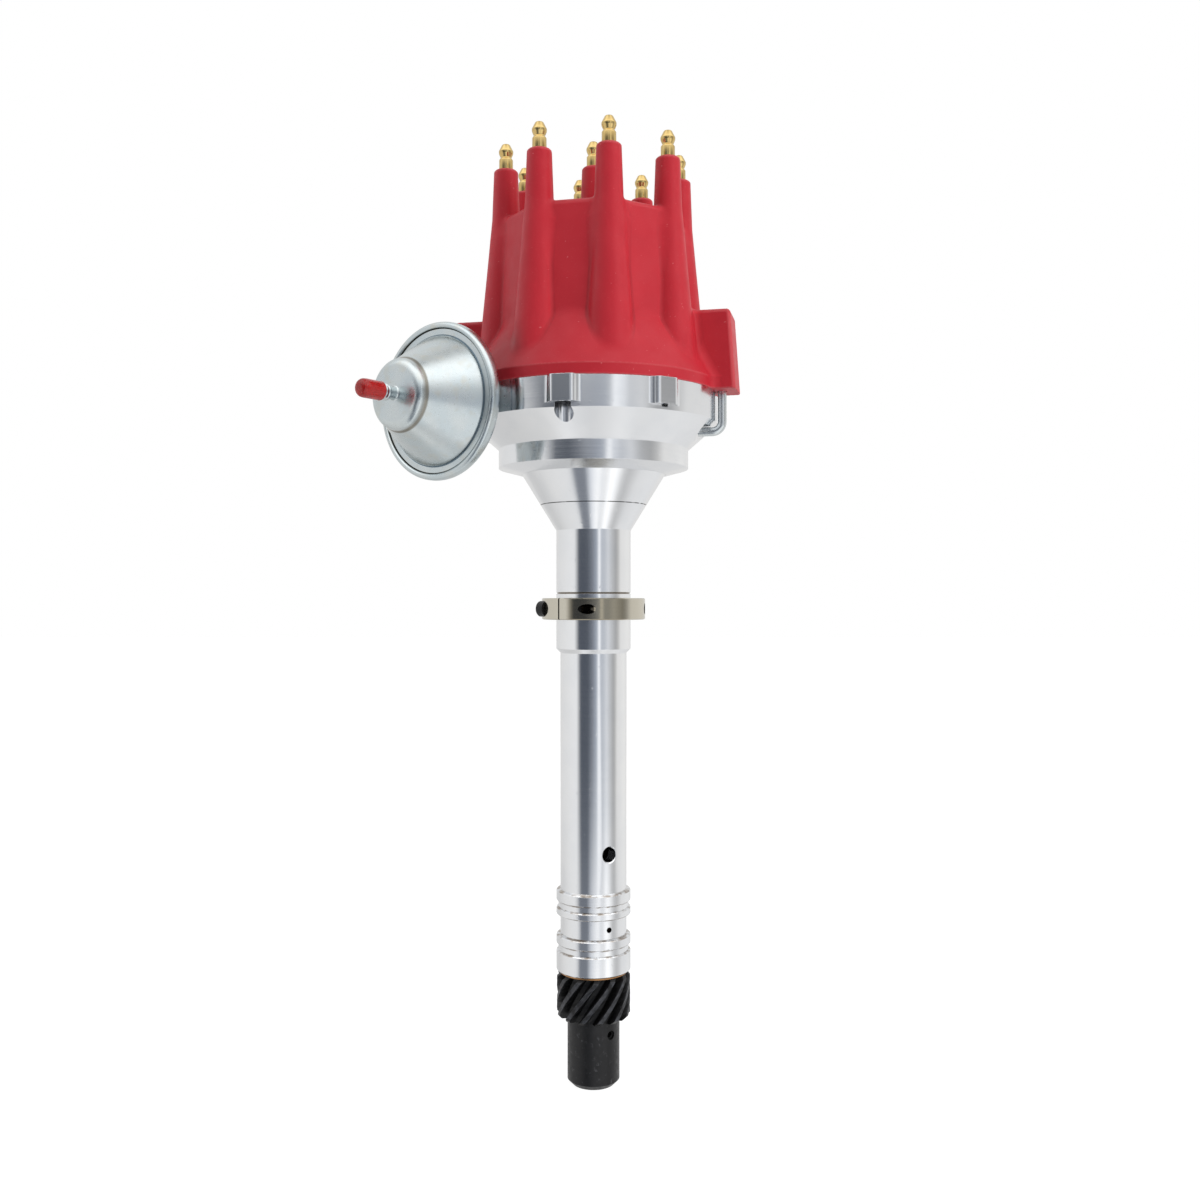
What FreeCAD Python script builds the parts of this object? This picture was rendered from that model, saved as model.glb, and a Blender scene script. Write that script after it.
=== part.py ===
import FreeCAD, Part
import math
import os

from FreeCAD import Placement, Rotation, Vector

# Ignition distributor for an eight cylinder engine, with centrifugal and vacuum advance.
# Millimetres, +Z up along the shaft. The origin is on the shaft axis, halfway up the lowest
# pilot land. Angles of the housing count from the front (-Y), positive towards +X.

# Pilot lands and oil grooves of the stem, from the bottom up
PILOT_RADIUS = 15.75
PILOT_HEIGHT = 8.5
LAND_CHAMFER = 0.4
SEAL_GROOVE_WIDTH = 2.7
SEAL_GROOVE_DEPTH = 0.85
SEAL_RING_WIDTH = 3.9
GALLERY_WIDTH = 8.5
GALLERY_RING_WIDTH = 3.0
TOP_RING_WIDTH = 4.6
OIL_HOLE_RADIUS = 1.15
OIL_HOLE_ANGLE = 28.0
DRAIN_HOLE_RADIUS = 3.1
DRAIN_HOLE_ANGLE = 28.5
DRAIN_HOLE_ABOVE_RINGS = 16.6
DRAIN_COUNTERSINK = 0.5

# Stem
STEM_RADIUS = 14.05
STEM_BORE_RADIUS = 8.0
STEM_LENGTH = 99.3
UPPER_LAND_RADIUS = 15.77
UPPER_LAND_LENGTH = 49.95
SHOULDER_CHAMFER = 1.75
SCRIBE_HEIGHT = 23.45
SCRIBE_WIDTH = 0.6
SCRIBE_DEPTH = 0.4
CONE_HEIGHT = 23.8
CONE_TOP_RADIUS = 30.4
SEAM_ABOVE_LAND = 10.8
SPIGOT_RADIUS = 12.0
SPIGOT_HEIGHT = 9.6

# Bowl
BOWL_FLANGE_RADIUS = 40.1
BOWL_FLANGE_HEIGHT = 7.8
UNDERSIDE_RISE = 2.6
UNDERSIDE_LIP = 0.3
BEVEL_HEIGHT = 10.7
BOWL_RADIUS = 52.3
BOWL_WALL_HEIGHT = 12.35
BOWL_FLOOR = 4.45
WALL_THICKNESS = 6.8
LEDGE_WIDTH = 9.5
LEDGE_DROP = 12.4
REGISTER_HEIGHT = 2.5
REGISTER_THICKNESS = 1.9
BOSS_RADIUS = 11.0
BOSS_HEIGHT = 16.5

# Lugs around the bowl
LUG_REACH = 2.5
LUG_CREST_WIDTH = 6.4
LUG_HEIGHT = 10.4
LUG_CORNER = 2.2
LUG_SIDE_FILLET = 3.0
LUG_ANGLES = (-12.75, 32.25, 167.25, 212.25)
LUG_BORE_RADIUS = 3.7
LUG_BORE_INSET = 2.0
LUG_BORE_TOP_WALL = 2.8
SMALL_BORE_RADIUS = 1.7
SMALL_BORE_INSET = 0.9
SMALL_BORE_DEPTH = 7.0

# Bushings and shaft
SHAFT_RADIUS = 6.25
BEARING_CLEARANCE = 0.04
SEAT_CLEARANCE = 0.02
LOWER_BUSH_LENGTH = 26.0
LOWER_BUSH_RADIUS = 9.2
UPPER_BUSH_RADIUS = 9.0
UPPER_BUSH_LENGTH = 26.0
TOP_JOURNAL_RADIUS = 3.5
SLOT_WIDTH = 5.2
SLOT_DEPTH = 8.0

# Drive gear
GEAR_TEETH = 13
GEAR_TIP_RADIUS = 15.6
GEAR_ROOT_RADIUS = 12.1
GEAR_WIDTH = 18.9
GEAR_HELIX_ANGLE = 39.0
GEAR_TIP_SHARE = 0.30
GEAR_ROOT_SHARE = 0.62
GEAR_TOOTH_CHAMFER = 1.5
GEAR_STEPS = 6
HUB_RADIUS = 11.05
HUB_LENGTH = 28.5
HUB_CHAMFER = 2.2
ROLL_PIN_RADIUS = 1.9
ROLL_PIN_WALL = 0.55
ROLL_PIN_ANGLE = 42.0
ROLL_PIN_BELOW_TEETH = 5.8
ROLL_PIN_RECESS = 1.0
THRUST_WASHER_RADIUS = 14.4
THRUST_WASHER_THICKNESS = 0.8
END_FLOAT = 0.1

# Slip collar
COLLAR_RADIUS = 21.9
COLLAR_WIDTH = 9.0
COLLAR_BORE_CLEARANCE = 0.05
COLLAR_CHAMFER = 0.4
COLLAR_ABOVE_SHOULDER = 12.35
COLLAR_SPLIT_WIDTH = 0.7
COLLAR_SPLIT_ANGLE = -40.5
CLAMP_SCREW_OFFSET = 18.03
CLAMP_SCREW_RADIUS = 1.5
CLAMP_HEAD_RADIUS = 3.3
CLAMP_HEAD_SEAT = 10.2
CLAMP_HEAD_LENGTH = 3.4
CLAMP_HEX_RADIUS = 1.6
HEX_SIDES = 6
CLAMP_EXIT_RADIUS = 2.05
CLAMP_EXIT_DEPTH = 4.4
SET_SCREW_ANGLE = 82.0
SET_SCREW_RADIUS = 2.3
SET_SCREW_LENGTH = 4.0
SET_SCREW_RECESS = 0.35
SCREW_CLEARANCE = 0.05

# Cap
CAP_OVERHANG = 0.2
CAP_BAND_HEIGHT = 4.6
CAP_BAND_WALL = 4.0
CAP_HEIGHT = 72.6
CAP_TOP_THICKNESS = 4.0
CAP_FIT = 0.1
CAP_FLAT_TOP_INSET = 14.9
CAP_FLAT_LEAN = 4.0
CAP_EDGE_ROUND = 2.6
SKIRT_HEIGHT = 30.0
SKIRT_TOP_INSET = 9.9
SKIRT_WAIST_INSET = 6.9
SKIRT_WAIST_DROP = 15.0
CAP_WALL = 4.2
CAVITY_TOP_WALL = 2.8
CAVITY_WAIST_HEIGHT = 28.0
CAVITY_FLARE_HEIGHT = 17.6
CAVITY_BAND_HEIGHT = 6.0

# Towers, ribs and terminals
TOWER_COUNT = 8
TOWER_CIRCLE_INSET = 15.3
TOWER_FIRST_ANGLE = 9.75
TOWER_HEIGHT = 21.0
TOWER_TOP_RADIUS = 5.0
TOWER_CHAMFER = 0.7
TOWER_FOOT_RADIUS = 5.8
RIB_FOOT_RADIUS = 11.4
RIB_FOOT_HEIGHT = 6.0
CENTRE_TOWER_HEIGHT = 24.5
TERMINAL_RADIUS = 3.05
TERMINAL_COLLAR = 4.6
TERMINAL_STEM_RADIUS = 2.6
TERMINAL_NECK_RADIUS = 2.15
TERMINAL_TIP_RADIUS = 1.75
TERMINAL_HEIGHT = 11.5
TERMINAL_CHAMFER = 0.9
TERMINAL_BULB_LOW = 6.6
TERMINAL_BULB_HIGH = 8.8
TERMINAL_INSIDE = 18.0
BUTTON_RADIUS = 2.4
BUTTON_LENGTH = 9.0
BUTTON_DROP = 6.5
BUTTON_TRAVEL_ROOM = 11.0
BUTTON_CLEARANCE = 0.1
BUTTON_SPRING_RADIUS = 1.5
BUTTON_SPRING_WIRE = 0.3
BUTTON_SPRING_TURNS = 7

# Ears and spring latches of the cap
EAR_ANGLES = (77.25, 257.25)
EAR_WIDTH = 19.0
EAR_HEIGHT = 32.6
EAR_WALL = 6.6
EAR_TAPER = 2.3
EAR_ROOT_INSET = 12.5
EAR_CORNER = 2.5
LATCH_STANDOFF = 2.5
LATCH_ROD_RADIUS = 1.85
LATCH_ROD_CLEARANCE = 0.25
LATCH_BORE_RADIUS = 3.35
LATCH_BORE_FLOOR = 11.6
LATCH_HEAD_RADIUS = 2.95
LATCH_HEAD_HEIGHT = 3.2
LATCH_SLOT_WIDTH = 1.0
LATCH_SLOT_DEPTH = 1.1
LATCH_HEAD_RECESS = 4.0
LATCH_WASHER_RADIUS = 3.2
LATCH_WASHER_THICKNESS = 0.8
LATCH_SPRING_RADIUS = 2.55
LATCH_SPRING_WIRE = 0.4
LATCH_SPRING_TURNS = 6
HOOK_DROP = 16.4
HOOK_LENGTH = 10.0
HOOK_BEND = 4.0
HOOK_CATCH_GAP = 0.25
POCKET_CLEARANCE = 1.4
LATCH_TRAVEL = 2.5

# Rotor
ROTOR_BASE_RADIUS = 31.0
ROTOR_BASE_THICKNESS = 4.0
ROTOR_COLUMN_FOOT = 12.5
ROTOR_COLUMN_TOP = 8.5
ROTOR_HEIGHT = 43.5
ROTOR_ARM_WIDTH = 9.0
ROTOR_ARM_DEPTH = 6.0
ROTOR_TIP_INSET = 1.3
ROTOR_WEB_THICKNESS = 1.8
ROTOR_WEB_INSET = 4.0
ROTOR_SEAT_RADIUS = 3.4
ROTOR_GAP = 0.9
CONTACT_WIDTH = 6.0
CONTACT_THICKNESS = 0.9
CONTACT_BEND = 8.4
CONTACT_PAD_OUTER = 1.6
CONTACT_PAD_INNER = 3.0
CONTACT_LEAN = 0.6
BUTTON_GAP = 0.3

# Centrifugal advance
SLEEVE_RADIUS = 8.5
SLEEVE_TUBE_LENGTH = 7.2
PLATE_RADIUS = 24.0
PLATE_THICKNESS = 2.0
PLATE_ARM_RADIUS = 31.0
PLATE_ARM_WIDTH = 13.0
LAYER_GAP = 0.3
WEIGHT_THICKNESS = 4.0
WEIGHT_PIVOT = (-17.5, 4.0)
WEIGHT_OUTER_RADIUS = 23.4
WEIGHT_INNER_FLAT = 6.3
WEIGHT_EYE_RADIUS = 4.2
WEIGHT_PIN_RADIUS = 2.0
WEIGHT_PIN_CLEARANCE = 0.08
WEIGHT_PIN_HEIGHT = 8.6
CAM_HALF_LENGTH = 13.5
CAM_HALF_WIDTH = 5.5
CAM_POST_RADIUS = 1.5
CAM_POST_PLACE = 9.0
CAM_POST_HEIGHT = 4.4
CAM_CLIP_RADIUS = 5.4
CAM_CLIP_THICKNESS = 1.0
JOURNAL_ABOVE_CAM = 1.8
SPACER_PLACE = 27.0
SPACER_RADIUS = 2.6
SPACER_HEIGHT = 10.0
ROTOR_SCREW_RADIUS = 1.4
ROTOR_SCREW_HEAD = 3.0
ROTOR_SCREW_HEAD_HEIGHT = 2.0
ROTOR_SCREW_GRIP = 7.0
ADVANCE_SPRING_WIRE = 0.25
ADVANCE_SPRING_RADIUS = 1.35
ADVANCE_SPRING_TURNS = 5
ADVANCE_HOOK_CLEARANCE = 0.2
ADVANCE_SPRING_DROP = 1.6

# Pickup
UPPER_WASHER_RADIUS = 9.6
UPPER_WASHER_THICKNESS = 0.6
WASHER_PLAY = 0.1
RELUCTOR_TEETH = 8
RELUCTOR_RADIUS = 16.0
RELUCTOR_ROOT = 12.4
RELUCTOR_TOOTH_WIDTH = 3.4
RELUCTOR_HEIGHT = 5.6
PICKUP_PIN_INSET = 3.3
PICKUP_PLATE_THICKNESS = 1.5
PICKUP_HUB_RADIUS = 14.0
PICKUP_HUB_HEIGHT = 7.0
PICKUP_CLEARANCE = 0.06
PICKUP_ABOVE_BOSS = 0.5
PICKUP_TOWER_STEP = 2
POLE_GAP = 0.8
POLE_BELOW_PLATE = 3.7
POLE_WIDTH = 3.4
POLE_HEIGHT = 3.2
POLE_REACH = 31.0
POLE_FOOT = 3.0
COIL_RADIUS = 3.2
COIL_FROM_TIP = 2.7
COIL_LENGTH = 7.5
PLATE_PIN_RADIUS = 1.5
PLATE_PIN_HEIGHT = 4.6

# Ignition module and harness outlet
MODULE_INNER_RADIUS = 16.5
MODULE_WALL_GAP = 2.0
MODULE_HEIGHT = 8.0
MODULE_SPAN = 110.0
MODULE_ANGLE = 170.0
MODULE_SCREW_END_ANGLE = 9.0
MODULE_SCREW_RADIUS = 1.5
MODULE_SCREW_HEAD = 2.8
MODULE_SCREW_HEAD_HEIGHT = 1.2
MODULE_SCREW_BITE = 2.2
OUTLET_ANGLE = 122.25
OUTLET_RADIUS = 4.6
OUTLET_BELOW_RIM = 6.2
GROMMET_FLANGE = 1.2
GROMMET_FLANGE_THICKNESS = 1.4
GROMMET_FIT = 0.05
GROMMET_CORE_RADIUS = 2.6

# Vacuum canister, in its own frame: x runs outwards along its axis from the rim's middle
CANISTER_ANGLE = 37.5
CANISTER_SCREW_INSET = 2.05
CANISTER_STANDOFF = 9.1
CANISTER_BELOW_RIM = 7.0
SHELL_THICKNESS = 0.9
RIM_RADIUS = 31.56
RIM_HALF_WIDTH = 2.5
RIM_FOLD = 2.6
RIM_ROUND = 0.6
RIM_LAP = 0.15
SHELL_FLAT_WIDTH = 2.8
NOSE_RADIUS = 14.3
NOSE_ROUND = 2.8
NOSE_REACH = 24.0
NOSE_SIDE = 3.6
REAR_DEPTH = 9.0
REAR_FACE_RADIUS = 18.6
REAR_SHOULDER_RADIUS = 27.2
ROD_PASS_RADIUS = 4.0
NIPPLE_RADIUS = 2.4
NIPPLE_BORE = 1.3
NIPPLE_LENGTH = 14.0
NIPPLE_BEAD_RADIUS = 3.3
NIPPLE_BEAD_WIDTH = 1.8
NIPPLE_BEAD_EDGE = 0.5
NIPPLE_CAP_START = 5.4
NIPPLE_CAP_RADIUS = 4.05
NIPPLE_CAP_LENGTH = 13.2
NIPPLE_CAP_ROUND = 2.4
NIPPLE_CAP_CLEARANCE = 0.03
NIPPLE_CAP_END_GAP = 0.2
DIAPHRAGM_THICKNESS = 0.7
DIAPHRAGM_CUP_RADIUS = 17.0
DIAPHRAGM_CUP_DEPTH = 4.2
DIAPHRAGM_BEAD_WIDTH = 3.0
ROD_WASHER_RADIUS = 13.0
ROD_WASHER_THICKNESS = 0.8
ROD_STUD_RADIUS = 2.2
ROD_WIDTH = 6.0
ROD_THICKNESS = 1.2
ROD_EYE_CLEARANCE = 0.7
ROD_EYE_WALL = 2.0
CANISTER_SPRING_RADIUS = 8.5
CANISTER_SPRING_WIRE = 0.6
CANISTER_SPRING_TURNS = 5
BRACKET_THICKNESS = 1.6
BRACKET_FLANGE_WIDTH = 24.0
BRACKET_FLANGE_HEIGHT = 18.0
BRACKET_ARM_WIDTH = 13.0
BRACKET_SLOT_CLEARANCE = 0.8
BRACKET_FOOT_HALF_WIDTH = 13.0
BRACKET_SCREW_SPREAD = 8.0
BRACKET_SCREW_RADIUS = 1.5
BRACKET_SCREW_HEAD = 2.6
BRACKET_SCREW_HEAD_HEIGHT = 1.6
BRACKET_SCREW_BITE = 5.0

# Facets of springs, and how far cutting tools run past a face
WIRE_SIDES = 6
COIL_STEPS = 10
COIL_END_ROOM = 1.5
HOOK_STEPS = 8
HOOK_SWEEP = 240.0
CUT_MARGIN = 1.0
EDGE_REACH = 0.1

# Heights worked out from the sizes above
pilot_bottom = -PILOT_HEIGHT / 2
pilot_top = PILOT_HEIGHT / 2
seal_ring_low = pilot_top + SEAL_GROOVE_WIDTH
seal_ring_high = seal_ring_low + SEAL_RING_WIDTH
gallery_ring_low = seal_ring_high + GALLERY_WIDTH
gallery_ring_high = gallery_ring_low + GALLERY_RING_WIDTH
top_ring_low = gallery_ring_high + SEAL_GROOVE_WIDTH
top_ring_high = top_ring_low + TOP_RING_WIDTH
shoulder_low = top_ring_high + LAND_CHAMFER * 2 + STEM_LENGTH
shoulder_high = shoulder_low + SHOULDER_CHAMFER
land_top = shoulder_high + UPPER_LAND_LENGTH
cone_top = land_top + CONE_HEIGHT
seam = land_top + SEAM_ABOVE_LAND
cone_slope = (CONE_TOP_RADIUS - UPPER_LAND_RADIUS) / CONE_HEIGHT
seam_radius = UPPER_LAND_RADIUS + SEAM_ABOVE_LAND * cone_slope
flange_low = cone_top + UNDERSIDE_RISE - UNDERSIDE_LIP
flange_high = flange_low + BOWL_FLANGE_HEIGHT
wall_low = flange_high + BEVEL_HEIGHT
rim = wall_low + BOWL_WALL_HEIGHT
floor = flange_low + BOWL_FLOOR
ledge = rim - LEDGE_DROP
boss_top = floor + BOSS_HEIGHT
upper_well_radius = BOWL_RADIUS - WALL_THICKNESS
well_radius = upper_well_radius - LEDGE_WIDTH
lug_radius = BOWL_RADIUS + LUG_REACH
cap_flange_radius = BOWL_RADIUS + CAP_OVERHANG
register_radius = cap_flange_radius - CAP_BAND_WALL - CAP_FIT
latch_radius = BOWL_RADIUS + LATCH_STANDOFF
ear_radius = latch_radius + EAR_WALL
skirt_top_radius = cap_flange_radius - SKIRT_TOP_INSET
skirt_waist_radius = cap_flange_radius - SKIRT_WAIST_INSET
cap_flat_top = cap_flange_radius - CAP_FLAT_TOP_INSET
tower_circle_radius = cap_flange_radius - TOWER_CIRCLE_INSET
canister_reach = BOWL_RADIUS + CANISTER_STANDOFF
bracket_screw_circle = (upper_well_radius + well_radius) / 2
canister_offset = bracket_screw_circle - BRACKET_SCREW_SPREAD - CANISTER_SCREW_INSET
pickup_plate_radius = canister_offset + PICKUP_PIN_INSET
module_outer_radius = well_radius - MODULE_WALL_GAP
module_screw_circle = (MODULE_INNER_RADIUS + module_outer_radius) / 2
spigot_top = seam + SPIGOT_HEIGHT
cap_top = rim + CAP_HEIGHT
cap_ceiling = cap_top - CAP_TOP_THICKNESS
tower_top = cap_top + TOWER_HEIGHT
centre_tower_top = cap_top + CENTRE_TOWER_HEIGHT
gear_top = pilot_bottom - THRUST_WASHER_THICKNESS - 2 * END_FLOAT
gear_bottom = gear_top - GEAR_WIDTH
hub_bottom = gear_bottom - HUB_LENGTH
pin_height = gear_bottom - ROLL_PIN_BELOW_TEETH
collar_low = shoulder_high + COLLAR_ABOVE_SHOULDER
sleeve_low = boss_top + UPPER_WASHER_THICKNESS + 2 * WASHER_PLAY
plate_low = sleeve_low + SLEEVE_TUBE_LENGTH
plate_high = plate_low + PLATE_THICKNESS
weight_low = plate_high + LAYER_GAP
weight_high = weight_low + WEIGHT_THICKNESS
journal_top = weight_high + CAM_CLIP_THICKNESS + JOURNAL_ABOVE_CAM
rotor_low = plate_high + SPACER_HEIGHT
rotor_base_top = rotor_low + ROTOR_BASE_THICKNESS
rotor_top = rotor_low + ROTOR_HEIGHT
rotor_tip = tower_circle_radius - TERMINAL_STEM_RADIUS - ROTOR_GAP
rotor_arm_length = rotor_tip - ROTOR_TIP_INSET
pickup_top = boss_top + PICKUP_ABOVE_BOSS
pickup_low = pickup_top - PICKUP_PLATE_THICKNESS
canister_height = rim - CANISTER_BELOW_RIM
ear_top = rim + EAR_HEIGHT
latch_floor = rim + LATCH_BORE_FLOOR
latch_head_top = ear_top - LATCH_HEAD_RECESS
latch_head_low = latch_head_top - LATCH_HEAD_HEIGHT
latch_washer_low = latch_head_low - LATCH_WASHER_THICKNESS
hook_height = rim - HOOK_DROP
hook_catch = hook_height + LATCH_ROD_RADIUS + HOOK_CATCH_GAP
button_bottom = cap_ceiling - BUTTON_DROP
button_top = button_bottom + BUTTON_LENGTH
button_room_top = cap_ceiling + BUTTON_TRAVEL_ROOM


def polar(radius, angle, height=0.0):
    """Point at a radius and an angle from the front, positive towards +X."""
    turn = math.radians(angle)
    return Vector(radius * math.sin(turn), -radius * math.cos(turn), height)


def disc(radius, low, high, centre=(0.0, 0.0)):
    """Upright cylinder between two heights."""
    return Part.makeCylinder(radius, high - low, Vector(centre[0], centre[1], low))


def tube(outer, inner, low, high):
    """Upright ring between two heights."""
    return disc(outer, low, high).cut(disc(inner, low, high))


def cone(low_radius, high_radius, low, high, centre=(0.0, 0.0)):
    """Upright truncated cone between two heights."""
    return Part.makeCone(low_radius, high_radius, high - low, Vector(centre[0], centre[1], low))


def revolve(edges):
    """Solid turned about Z from closed edges drawn in the XZ plane."""
    face = Part.Face(Part.Wire(edges))
    return face.revolve(Vector(0, 0, 0), Vector(0, 0, 1), 360)


def lines(points):
    """Closed straight edges through (radius, height) points in the XZ plane."""
    corners = [Vector(radius, 0, height) for radius, height in points]
    following = corners[1:] + corners[:1]
    return [edge(a, b) for a, b in zip(corners, following)]


def turned(points):
    """Solid turned about Z from (radius, height) points."""
    return revolve(lines(points))


def prism(points, low, high):
    """Upright prism on an outline of (x, y) points."""
    corners = [Vector(x, y, low) for x, y in points]
    outline = Part.makePolygon(corners + corners[:1])
    return Part.Face(outline).extrude(Vector(0, 0, high - low))


def block(x_low, x_high, y_low, y_high, z_low, z_high):
    """Box between two corners."""
    size = (x_high - x_low, y_high - y_low, z_high - z_low)
    return Part.makeBox(size[0], size[1], size[2], Vector(x_low, y_low, z_low))


def bend(start, corner, end):
    """Quarter round edge between two points at the same distance from a corner."""
    centre = start + end - corner
    middle = centre + (corner - centre).normalize() * (start - centre).Length
    return Part.Arc(start, middle, end).toShape()


def edge(start, end):
    return Part.LineSegment(start, end).toShape()


def rod(radius, start, end):
    """Round rod between two points."""
    run = end - start
    return Part.makeCylinder(radius, run.Length, start, run)


def facing(shape, angle):
    """Turn a shape drawn towards +X so that it faces an angle from the front."""
    turned_copy = shape.copy()
    turned_copy.rotate(Vector(0, 0, 0), Vector(0, 0, 1), angle - 90)
    return turned_copy


def wire_along(points, wire):
    """Round wire as flat facets: six sides, mitred at each bend of its path."""
    runs = [(b - a).normalize() for a, b in zip(points, points[1:])]
    planes = [runs[0]] + [(a + b).normalize() for a, b in zip(runs, runs[1:])] + [runs[-1]]
    steep = abs(runs[0].z) > abs(runs[0].x)
    side = runs[0].cross(Vector(1, 0, 0) if steep else Vector(0, 0, 1)).normalize()
    rise = runs[0].cross(side)
    ring = []
    for k in range(WIRE_SIDES):
        turn = 2 * math.pi * k / WIRE_SIDES
        ring.append(points[0] + side * (wire * math.cos(turn)) + rise * (wire * math.sin(turn)))
    faces = [Part.Face(Part.makePolygon(ring + ring[:1]))]
    for step, run in enumerate(runs):
        target, normal = points[step + 1], planes[step + 1]
        ahead = [v + run * ((target - v).dot(normal) / run.dot(normal)) for v in ring]
        for k in range(WIRE_SIDES):
            after = (k + 1) % WIRE_SIDES
            corners = [ring[k], ring[after], ahead[after], ahead[k]]
            faces.append(Part.Face(Part.makePolygon(corners + corners[:1])))
        ring = ahead
    faces.append(Part.Face(Part.makePolygon(ring + ring[:1])))
    return closed_solid(faces)


def closed_solid(faces):
    """Solid bounded by flat faces, facing outwards."""
    solid = Part.Solid(Part.Shell(faces))
    if solid.Volume < 0:
        solid.reverse()
    return solid


def coil_points(radius, low, high, turns):
    """Points of a coil about Z, its ends on the lowest and highest points."""
    steps = turns * COIL_STEPS
    points = []
    for step in range(steps + 1):
        turn = 2 * math.pi * step / COIL_STEPS
        height = low + (high - low) * step / steps
        points.append(Vector(radius * math.cos(turn), radius * math.sin(turn), height))
    return points


def coil_spring(radius, wire, low, high, turns):
    """Coil spring standing on Z between two faces."""
    room = COIL_END_ROOM * wire
    return wire_along(coil_points(radius, low + room, high - room, turns), wire)


def save(name, shape):
    """Write one node as its own STEP file."""
    shape.exportStep("parts/" + name + ".step")


# Stem: pilot lands, oil gallery, upper land and lower half of the cone

def land(radius, low, high):
    """Points of a land with a chamfer at both ends, from the bottom up."""
    inner = radius - LAND_CHAMFER
    return [(inner, low), (radius, low + LAND_CHAMFER), (radius, high - LAND_CHAMFER), (inner, high)]


def stem_outline():
    groove = PILOT_RADIUS - SEAL_GROOVE_DEPTH
    points = land(PILOT_RADIUS, pilot_bottom, pilot_top)
    points += [(groove, pilot_top), (groove, seal_ring_low)]
    points += land(PILOT_RADIUS, seal_ring_low, seal_ring_high)
    points += [(STEM_RADIUS, seal_ring_high), (STEM_RADIUS, gallery_ring_low)]
    points += land(PILOT_RADIUS, gallery_ring_low, gallery_ring_high)
    points += [(groove, gallery_ring_high), (groove, top_ring_low)]
    points += land(PILOT_RADIUS, top_ring_low, top_ring_high)
    points += [(STEM_RADIUS, top_ring_high + LAND_CHAMFER), (STEM_RADIUS, shoulder_low)]
    points += [(UPPER_LAND_RADIUS, shoulder_high)]
    scribe_low = shoulder_high + SCRIBE_HEIGHT - SCRIBE_WIDTH / 2
    scribe_floor = UPPER_LAND_RADIUS - SCRIBE_DEPTH
    points += [(UPPER_LAND_RADIUS, scribe_low), (scribe_floor, scribe_low)]
    points += [(scribe_floor, scribe_low + SCRIBE_WIDTH)]
    points += [(UPPER_LAND_RADIUS, scribe_low + SCRIBE_WIDTH), (UPPER_LAND_RADIUS, land_top)]
    points += [(seam_radius, seam), (SPIGOT_RADIUS, seam), (SPIGOT_RADIUS, spigot_top)]
    return points


def housing_stem():
    bush_top = pilot_bottom + LOWER_BUSH_LENGTH
    bush_seat = LOWER_BUSH_RADIUS + SEAT_CLEARANCE
    points = stem_outline()
    points += [(STEM_BORE_RADIUS, spigot_top), (STEM_BORE_RADIUS, bush_top)]
    points += [(bush_seat, bush_top), (bush_seat, pilot_bottom)]
    body = turned(points)
    drain_height = top_ring_high + DRAIN_HOLE_ABOVE_RINGS
    outside = polar(PILOT_RADIUS, DRAIN_HOLE_ANGLE, drain_height)
    inside = Vector(0, 0, drain_height)
    drain = rod(DRAIN_HOLE_RADIUS, inside, outside)
    sink_start = polar(STEM_RADIUS - DRAIN_COUNTERSINK, DRAIN_HOLE_ANGLE, drain_height)
    sink_depth = PILOT_RADIUS - STEM_RADIUS + DRAIN_COUNTERSINK
    sink = Part.makeCone(DRAIN_HOLE_RADIUS, DRAIN_HOLE_RADIUS + sink_depth, sink_depth,
                         sink_start, outside - inside)
    return body.cut([drain, sink, oil_feed()])


def oil_feed():
    """Cross hole from the oil gallery through the stem and the lower bushing."""
    height = (seal_ring_high + gallery_ring_low) / 2
    return rod(OIL_HOLE_RADIUS, Vector(0, 0, height), polar(PILOT_RADIUS, OIL_HOLE_ANGLE, height))


def lower_bushing():
    bush = tube(LOWER_BUSH_RADIUS, SHAFT_RADIUS + BEARING_CLEARANCE,
                pilot_bottom, pilot_bottom + LOWER_BUSH_LENGTH)
    return bush.cut(oil_feed())


def upper_bushing():
    low = boss_top - UPPER_BUSH_LENGTH
    return tube(UPPER_BUSH_RADIUS, SHAFT_RADIUS + BEARING_CLEARANCE, low, boss_top)


# Bowl: turned shell with lugs, latch pockets, canister slot and harness outlet

def canister_placement():
    """Canister frame: origin on the rim's middle, x outwards along the canister's axis."""
    turn = math.radians(CANISTER_ANGLE)
    outwards = Vector(-math.sin(turn), -math.cos(turn), 0)
    across = Vector(-math.cos(turn), math.sin(turn), 0)
    origin = outwards * canister_reach + across * canister_offset
    origin.z = canister_height
    heading = math.degrees(math.atan2(outwards.y, outwards.x))
    return Placement(origin, Rotation(Vector(0, 0, 1), heading))


def in_canister_frame(shape):
    placed = shape.copy()
    placed.Placement = canister_placement().multiply(placed.Placement)
    return placed


def arc_about(centre, radius, start, end):
    """Arc round a centre, between the directions of two points."""
    first = (start - centre).normalize()
    last = (end - centre).normalize()
    middle = centre + (first + last).normalize() * radius
    return Part.Arc(centre + first * radius, middle, centre + last * radius).toShape()


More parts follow.
